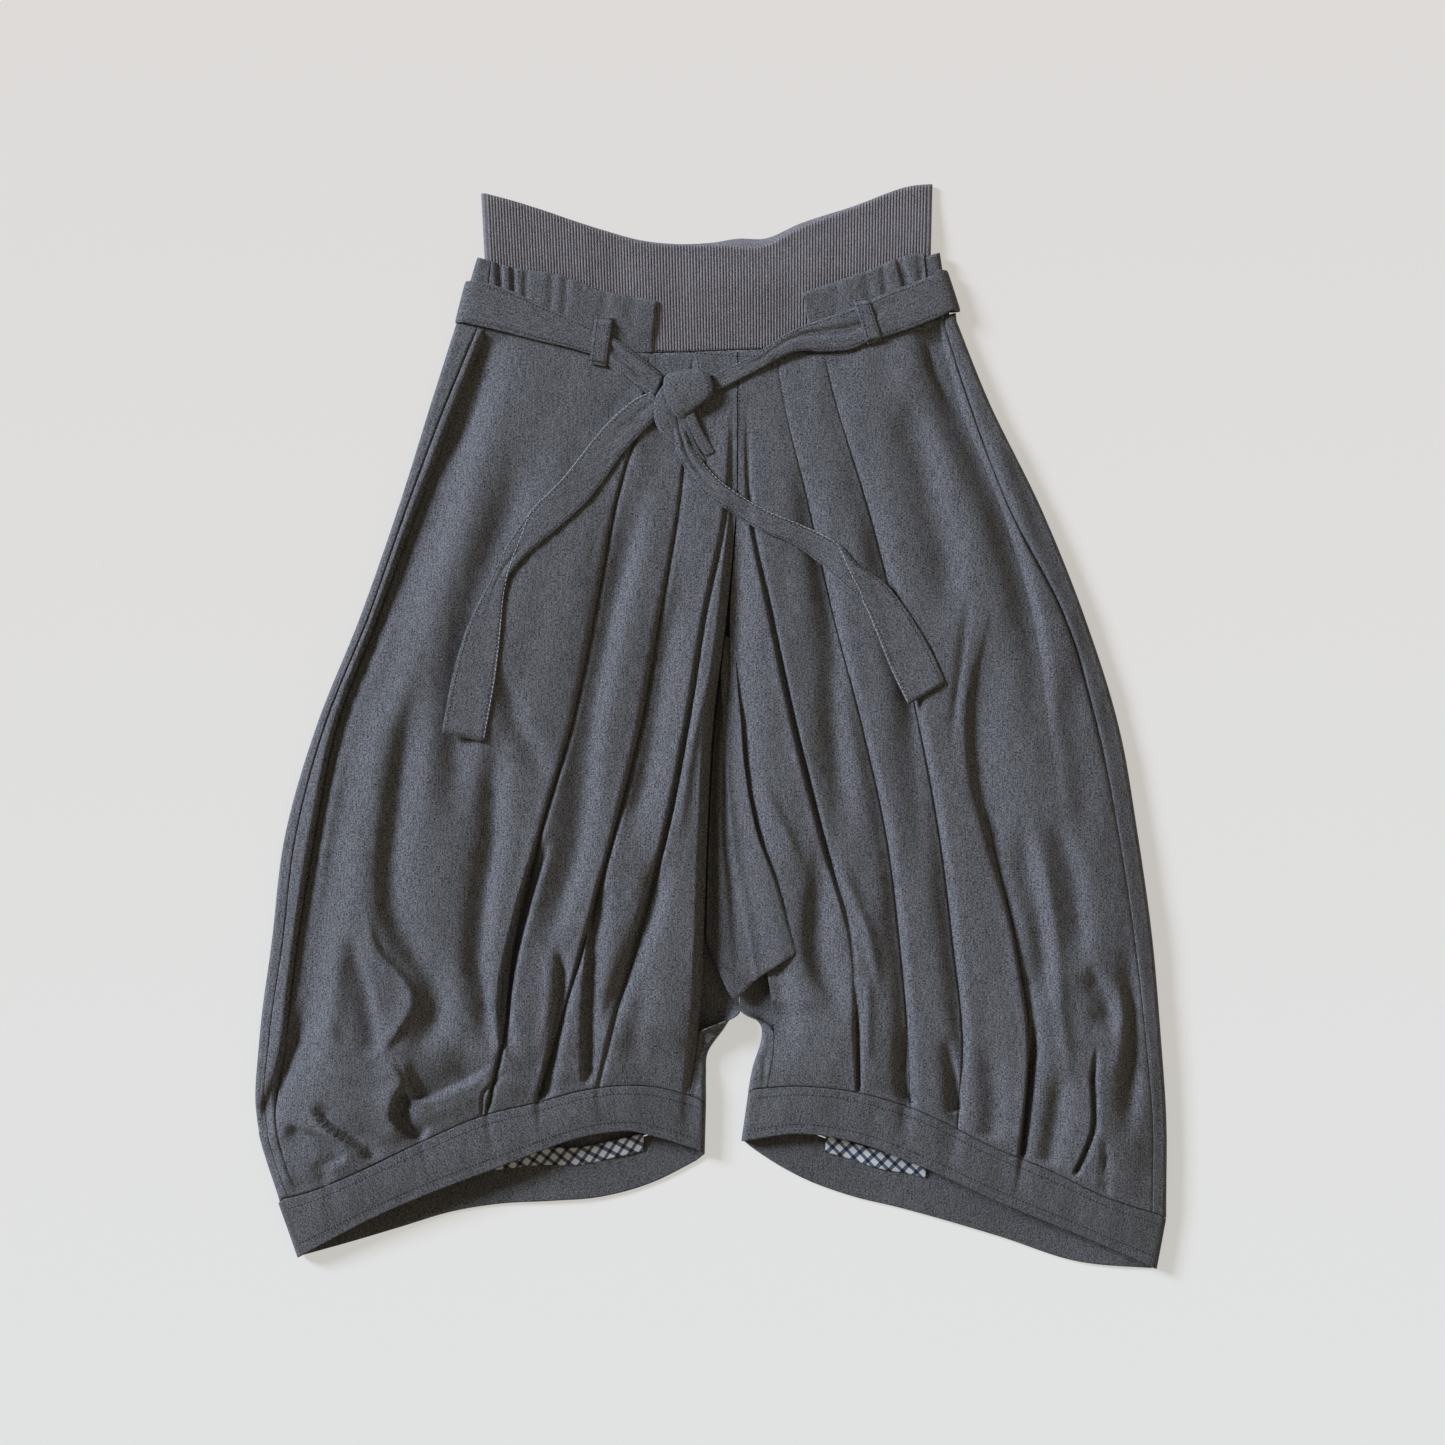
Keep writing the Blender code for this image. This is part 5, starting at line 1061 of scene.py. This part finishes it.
def make_crotch():
    """The crotch piece, folded down between the legs over their inner edges."""
    across, down = np.linspace(0, 1, 90), np.linspace(0, 1, 150)

    def along(points, t):
        at = np.linspace(0, 1, len(points))
        return np.stack([curve(list(zip(at, [p[axis] for p in points])), t) for axis in (0, 1)], axis=-1)

    s, w = across[None, :, None], down[:, None, None]
    corners = [np.array(edge[end], float) for end in (0, -1) for edge in (CROTCH_LEFT, CROTCH_RIGHT)]
    sides = along(CROTCH_LEFT, down)[:, None] * (1 - s) + along(CROTCH_RIGHT, down)[:, None] * s
    ends = (corners[0] * (1 - s) + corners[1] * s) * (1 - w) + along(CROTCH_BOTTOM, across)[None] * w
    flat = ((1 - s) * (1 - w) * corners[0] + s * (1 - w) * corners[1] + (1 - s) * w * corners[2]
            + s * w * corners[3])
    place = sides + ends - flat
    x, y = place[:, :, 0], place[:, :, 1]
    across, down = across[None], down[:, None]
    low = CROTCH_FLOOR + CROTCH_RISE * ease(across / 0.3) * ease((down + 0.15) * 2)
    lift = CROTCH_LIFT - 4.0 * (1 - ease(down / 0.34))
    near = np.zeros(x.shape)
    for dx in (-6, -3, 0, 3, 6):
        for dy in (-9, 0, 9):
            over = x + dx > by_level(RIGHT.centre.x, y + dy) - 1
            near = np.maximum(near, np.where(over, RIGHT.height(x + dx, y + dy) + lift, 0))
    z = np.maximum(low, near)
    for _ in range(10):
        padded = np.pad(z, 1, mode="edge")
        mean = (padded[:-2, 1:-1] + padded[2:, 1:-1] + padded[1:-1, :-2] + padded[1:-1, 2:]) / 4
        z = np.maximum(mean, np.maximum(low, near) - 0.3)
    z = z + 0.5 * unevenness(x * 1.4, y) - 1.0 * ease((across - 0.96) / 0.04) ** 2
    z = z - 0.9 * ease((down - 0.975) / 0.025) ** 2
    z = z - 2.2 * np.exp(-((across - 0.45) / 0.07) ** 2) * ease(down * 2) * ease((1 - down) * 4)
    grid = grid_of(x, y, z)
    row_ids, col_ids = every(z.shape[0], 3), every(z.shape[1], 3)
    inner = grid[np.ix_(row_ids, col_ids)] - np.array([0, 0, CLOTH + 0.1])
    inner[1:-1, 1:-1, 2] -= 0.2
    # The crotch piece is made in the darker copy of the wool, painted shade.
    return shell("cloth_crotch_piece", grid, inner, place, woven_painted_shade, row_ids, col_ids)


# Threads
def stitch_line(points, stitches, length=1.5, gap=1.1, width=0.8, height=0.2):
    """Adds thread stitches along a run of points to the list of stitches."""
    points = np.asarray(points)
    so_far = path_length(points)

    def place(distance):
        return np.array([np.interp(distance, so_far, points[:, axis]) for axis in range(3)])

    at = 0.5
    while at + length < so_far[-1]:
        stitches.append((place(at), place(at + length), width, height))
        at += length + gap


def across_grid(top, shares):
    """A line along a strap's top, whose place across it goes through the shares given, from end to end."""
    at = np.interp(np.linspace(0, 1, len(top)), np.linspace(0, 1, len(shares)), shares)
    column = np.arccos(np.clip(1 - 2 * at, -1, 1)) / np.pi * (top.shape[1] - 1)
    low = np.clip(column.astype(int), 0, top.shape[1] - 2)
    part = (column - low)[:, None]
    rows = np.arange(len(top))
    return top[rows, low] * (1 - part) + top[rows, low + 1] * part + np.array([0, 0, THREAD_LIFT])


def on_cloth(pixels):
    """A line over the leg fronts through the places given in pixels."""
    flat = smooth_path(pixels)
    split = by_level(LEFT.centre.x, flat[:, 1])
    z = np.where(flat[:, 0] < split, LEFT.height(*flat.T), RIGHT.height(*flat.T))
    return np.column_stack([flat, z + THREAD_LIFT])


def make_stitches(name, stitches, material):
    """All the thread of one region, as small rounded lozenges pressed into the cloth."""
    vertices, faces = [], []
    for start, end, width, height in stitches:
        way = end - start
        across = np.array([-way[1], way[0], 0.0])
        across = across / (np.linalg.norm(across) + 1e-9) * width / 2
        up = np.array([0, 0, height])
        near, far = start + way * 0.22, end - way * 0.22
        base = len(vertices)
        vertices += [start, near + across, near - across, near + up, near - up,
                     end, far + across, far - across, far + up, far - up]
        for face in ((0, 1, 3), (0, 3, 2), (0, 4, 1), (0, 2, 4), (1, 6, 8, 3), (3, 8, 7, 2), (1, 4, 9, 6),
                     (2, 7, 9, 4), (5, 8, 6), (5, 7, 8), (5, 6, 9), (5, 9, 7)):
            faces.append(tuple(base + k for k in face))
    vertices = np.array(vertices)
    return build(name, vertices, faces, vertices[:, :2], material)


# Materials
def add(tree, kind, inputs, **settings):
    """A new shader node with the settings given. Each input is a value or the socket it is linked to."""
    node = tree.nodes.new("ShaderNode" + kind)
    for key, value in settings.items():
        setattr(node, key, value)
    for key, value in inputs.items():
        if isinstance(value, bpy.types.NodeSocket):
            tree.links.new(value, node.inputs[key])
        else:
            node.inputs[key].default_value = value
    return node


def calc(tree, operation, *values):
    return add(tree, "Math", dict(enumerate(values)), operation=operation).outputs[0]


def stretched_noise(tree, vector, scale, detail):
    """Noise whose grain is stretched by the three scales given, in grains to a metre."""
    mapping = add(tree, "Mapping", {"Scale": scale, "Vector": vector})
    place = mapping.outputs["Vector"]
    noise = add(tree, "TexNoise", {"Scale": 1.0, "Detail": detail, "Roughness": 0.6, "Vector": place})
    return noise.outputs["Fac"]


def coloured(tree, factor, *stops):
    """Colour that runs through the (position, colour) stops given as the factor goes from 0 to 1."""
    node = add(tree, "ValToRGB", {"Fac": factor})
    marks = node.color_ramp.elements
    for mark, (position, colour) in zip(marks, (stops[0], stops[-1])):
        mark.position = position
        mark.color = colour + (1,)
    for position, colour in stops[1:-1]:
        marks.new(position).color = colour + (1,)
    return node


def new_material(name, roughness, **values):
    """A material with the roughness and other shader values given, its node tree and its shader."""
    material = bpy.data.materials.new(name)
    material.use_nodes = True
    shader = material.node_tree.nodes["Principled BSDF"]
    shader.inputs["Roughness"].default_value = roughness
    for key, value in values.items():
        shader.inputs[key.replace("_", " ")].default_value = value
    return material, material.node_tree, shader


def roughen(tree, shader, height, strength, distance):
    bump = add(tree, "Bump", {"Strength": strength, "Distance": distance, "Height": height})
    tree.links.new(bump.outputs["Normal"], shader.inputs["Normal"])


def make_heather_group():
    """Heathered yarn in a plain weave: gives how light a point is and the height of its threads."""
    group = bpy.data.node_groups.new("heather weave", "ShaderNodeTree")
    for label, way, kind in (("Cloth", "INPUT", "Vector"), ("Threads", "INPUT", "Float"),
                             ("Tone", "OUTPUT", "Float"), ("Height", "OUTPUT", "Float")):
        group.interface.new_socket(label, in_out=way, socket_type="NodeSocket" + kind)
    given, put = group.nodes.new("NodeGroupInput"), group.nodes.new("NodeGroupOutput")
    cloth = given.outputs["Cloth"]
    warp, weft, slub, broad = (stretched_noise(group, cloth, scale, 1.0) for scale in
                               ((1500, 600, 1), (640, 1500, 1), (800, 110, 1), (70, 20, 1)))
    separate = add(group, "SeparateXYZ", {0: cloth})
    around = calc(group, "MULTIPLY", given.outputs["Threads"], 2 * math.pi)
    waves = [calc(group, "SINE", calc(group, "MULTIPLY", separate.outputs[axis], around)) for axis in "XY"]
    weave = calc(group, "MULTIPLY", *waves)
    tone, *others = (calc(group, "MULTIPLY", part, share) for part, share in
                     ((warp, 0.42), (weft, 0.36), (slub, 0.18), (broad, 0.04), (weave, 0.02)))
    for other in others:
        tone = calc(group, "ADD", tone, other)
    group.links.new(tone, put.inputs["Tone"])
    height = calc(group, "ADD", calc(group, "MULTIPLY", weave, 0.35), calc(group, "ADD", warp, weft))
    group.links.new(height, put.inputs["Height"])
    return group


def cloth_material(name, dark, light, tones, threads, bump, sheen):
    """Matte cloth of two yarn colours, mixed by the heather group between the tones given."""
    material, tree, shader = new_material(name, 0.92, Specular_IOR_Level=0.18, Sheen_Weight=sheen,
                                          Sheen_Roughness=0.6)
    where = add(tree, "UVMap", {}, uv_map="cloth")
    heather = tree.nodes.new("ShaderNodeGroup")
    heather.node_tree = heather_weave
    heather.inputs["Threads"].default_value = threads
    tree.links.new(where.outputs["UV"], heather.inputs["Cloth"])
    yarn = coloured(tree, heather.outputs["Tone"], (tones[0], dark), (tones[1], light))
    tree.links.new(yarn.outputs["Color"], shader.inputs["Base Color"])
    roughen(tree, shader, heather.outputs["Height"], bump, 0.0002)
    return material


def checked_material():
    """Cotton in a generic gingham check on the bias, white and navy with fine lines."""
    material, tree, shader = new_material("checked cotton", 0.85)
    where = add(tree, "UVMap", {}, uv_map="cloth")
    turned = add(tree, "Mapping", {"Rotation": (0, 0, math.radians(38)), "Vector": where.outputs["UV"]})
    parts = add(tree, "SeparateXYZ", {0: turned.outputs["Vector"]})
    bands = []
    for axis, shift in (("X", 0.4), ("Y", 1.1)):
        turns = calc(tree, "MULTIPLY", parts.outputs[axis], 2 * math.pi / CHECK_REPEAT)
        bands.append(calc(tree, "GREATER_THAN", calc(tree, "SINE", calc(tree, "ADD", turns, shift)), 0.4))
    check = calc(tree, "MULTIPLY", calc(tree, "ADD", *bands), 0.5)
    colour = coloured(tree, check, (0.1, (0.78, 0.78, 0.8)), (0.5, (0.11, 0.13, 0.2)),
                      (0.9, (0.008, 0.01, 0.022)))
    colour.color_ramp.interpolation = "CONSTANT"
    grain = stretched_noise(tree, where.outputs["UV"], (1600, 1600, 1), 2.0)
    mix = add(tree, "Mix", {"Factor": 0.5, "A": colour.outputs["Color"], "B": grain}, data_type="RGBA",
              blend_type="MULTIPLY")
    tree.links.new(mix.outputs["Result"], shader.inputs["Base Color"])
    roughen(tree, shader, grain, 0.3, 0.0002)
    return material


def floor_material():
    """Plain pale floor that glows a little, warmer towards the top of the picture."""
    material, tree, shader = new_material("pale floor", 0.95, Specular_IOR_Level=0.1, Emission_Strength=1.5)
    place = tree.nodes.new("ShaderNodeTexCoord")
    parts = add(tree, "SeparateXYZ", {0: place.outputs["Generated"]})
    colour = coloured(tree, parts.outputs["Y"], (0.42, (0.330, 0.330, 0.322)),
                      (0.58, (0.318, 0.300, 0.287)))
    tree.links.new(colour.outputs["Color"], shader.inputs["Base Color"])
    tree.links.new(colour.outputs["Color"], shader.inputs["Emission Color"])
    roughen(tree, shader, stretched_noise(tree, place.outputs["Object"], (260, 260, 1), 3.0), 0.08, 0.001)
    return material


heather_weave = make_heather_group()
# The second wool is the same cloth with darker yarn colours: painted shade for the hem bands and the crotch
# piece, which lie turned away from the light.
woven, woven_painted_shade, rib, thread, pale_thread = (cloth_material(*row) for row in (
    ("heathered wool", (0.018, 0.018, 0.020), (0.219, 0.213, 0.228), (0.385, 0.625), 1100.0, 0.6, 0.06),
    ("heathered wool, painted shade", (0.015, 0.015, 0.016), (0.186, 0.180, 0.189), (0.385, 0.625), 1100.0, 0.6,
     0.06),
    ("rib knit wool", (0.082, 0.074, 0.080), (0.303, 0.273, 0.294), (0.34, 0.66), 700.0, 0.5, 0.1),
    ("sewing thread", (0.012, 0.012, 0.014), (0.05, 0.05, 0.055), (0.36, 0.64), 2500.0, 0.3, 0.0),
    ("pale edge thread", (0.26, 0.27, 0.28), (0.50, 0.51, 0.52), (0.36, 0.64), 2500.0, 0.3, 0.0)))
binding = checked_material()

# Camera and light. The lens makes the picture as wide as the photo at the height of the garment's top.
CAMERA_HEIGHT = 2.1
CAMERA_AT = spot(722.5, 722.5)
SENSOR = 36.0
bpy.context.scene.view_settings.view_transform = "Standard"
camera_data = bpy.data.cameras.new("camera")
camera = bpy.data.objects.new("camera", camera_data)
bpy.context.scene.collection.objects.link(camera)
bpy.context.scene.camera = camera
camera.location = (CAMERA_AT[0] * MM, CAMERA_AT[1] * MM, CAMERA_HEIGHT)
camera_data.sensor_fit = "HORIZONTAL"
camera_data.sensor_width = SENSOR
camera_data.lens = SENSOR * (CAMERA_HEIGHT - 0.010) / (PHOTO_SIDE * PIXEL * MM)


def sun_light(name, way, softness, strength, colour):
    """A far soft light that shines from the way given. softness is its width in degrees."""
    data = bpy.data.lights.new(name, "SUN")
    data.angle = math.radians(softness)
    data.energy = strength
    data.color = colour
    lamp = bpy.data.objects.new(name, data)
    lamp.rotation_euler = Vector(way).to_track_quat("Z", "Y").to_euler()
    bpy.context.scene.collection.objects.link(lamp)


sun_light("window", (-1.0, 0.55, 0.55), 17, 5.3, (0.74, 0.845, 1.0))
sun_light("room", (0.9, -0.5, 1.0), 80, 0.32, (1.0, 0.88, 0.64))
world = bpy.data.worlds.new("studio")
bpy.context.scene.world = world
world.use_nodes = True
world.node_tree.nodes["Background"].inputs["Color"].default_value = (1.0, 0.90, 0.65, 1)
world.node_tree.nodes["Background"].inputs["Strength"].default_value = 0.17

floor_mesh = bpy.data.meshes.new("floor")
floor_mesh.from_pydata([(-4, -4, 0), (4, -4, 0), (4, 4, 0), (-4, 4, 0)], [], [(0, 1, 2, 3)])
floor = bpy.data.objects.new("floor", floor_mesh)
floor.location = (0, 0, -0.0005)
floor_mesh.materials.append(floor_material())
bpy.context.scene.collection.objects.link(floor)


def belt_level(top, px, py):
    """How high the belt stands close to a place given in pixels."""
    near = np.hypot(*(top[:, :, :2] - spot(px, py)).transpose(2, 0, 1)) < 9
    return float(top[:, :, 2][near].max()) + 0.8


dark_rows, pale_rows = [], []
make_rib()
for half, (word, width) in enumerate((("left", 0.14), ("right", 0.10))):
    piece = make_waist_front("cloth_waistband_front_" + word, half)
make_waist_back()
for leg, word, front_cut, front_share, back_cut, back_share, binding_cut in (
        (LEFT, "left", (0.33, 0.60), 0.80, (0.40, 0.65), 0.73, (0.13, 0.0135)),
        (RIGHT, "right", (0.31, 0.62), 0.76, (0.38, 0.66), 0.75, (0.08, 0.0135))):
    make_leg_front(leg, "cloth_leg_front_" + word)
    make_leg_back(leg, "cloth_leg_back_" + word)
    piece, mouth = make_hem_band(leg, "cloth_hem_band_" + word)
    make_binding(leg, "cloth_seam_binding_" + word)
    for share in (0.2, 0.8):
        stitch_line(mouth[int(share * (len(mouth) - 1))] + np.array([0, 0, THREAD_LIFT]), dark_rows)
make_crotch()
piece, belt_left_top, belt_right_top = make_belt()
piece, tail_left_top = make_strap("cloth_belt_tail_left", TAIL_LEFT)
piece, tail_right_top = make_strap("cloth_belt_tail_right", TAIL_RIGHT)
KNOT_LEVEL = float(ground(*spot(684, 400)).max()) + 1.0
piece, wrap_top = make_strip("knot_wrap", KNOT_WRAP, 1.6)
piece, _ = make_strip("knot_lobe", KNOT_LOBE, 1.2)
for number, strips in enumerate(KNOT_FANS):
    piece, _ = make_strip("knot_fan_%d" % (number + 1), strips, 0.8, 1.0)
loop_tops = []
for word, top, low, belt, place in (
        ("left", ((595, 317), (613, 318)), ((590, 364), (606, 367)), belt_left_top, (601, 345)),
        ("right", ((853, 300), (868, 298)), ((867, 345), (882, 341)), belt_right_top, (867, 322))):
    piece, loop_top = make_loop("cloth_belt_loop_" + word, top, low, belt_level(belt, *place))
    loop_tops.append(loop_top)

# Stitching: dark dots where the needle went in, and the tails' pale edges, which change sides at the twist
for tops, shares in (((belt_left_top, belt_right_top, tail_left_top, tail_right_top), (0.09, 0.91)),
                     (loop_tops, (0.16, 0.84)), ((wrap_top,), (0.9,))):
    for top in tops:
        for share in shares:
            stitch_line(across_grid(top, (share, share)), dark_rows)
for pixels in (((657, 350), (700, 353), (750, 357), (790, 358)), ((655, 350), (656, 378)),
               ((697, 351), (699, 371)), ((737, 352), (740, 376)), ((740, 389), (739, 412), (738, 436)),
               ((777, 360), (781, 384), (786, 407)), ((824, 357), (829, 381), (836, 407))):
    stitch_line(on_cloth(pixels), dark_rows)
make_stitches("seam_thread", dark_rows, thread)
for top, before, after in ((tail_left_top, 5, 4), (tail_right_top, 7, 4)):
    shares = (0.03,) * before + (0.5,) + (0.97,) * after
    stitch_line(across_grid(top, shares), pale_rows, 3.0, 0.3, 0.7, 0.3)
make_stitches("edge_thread", pale_rows, pale_thread)
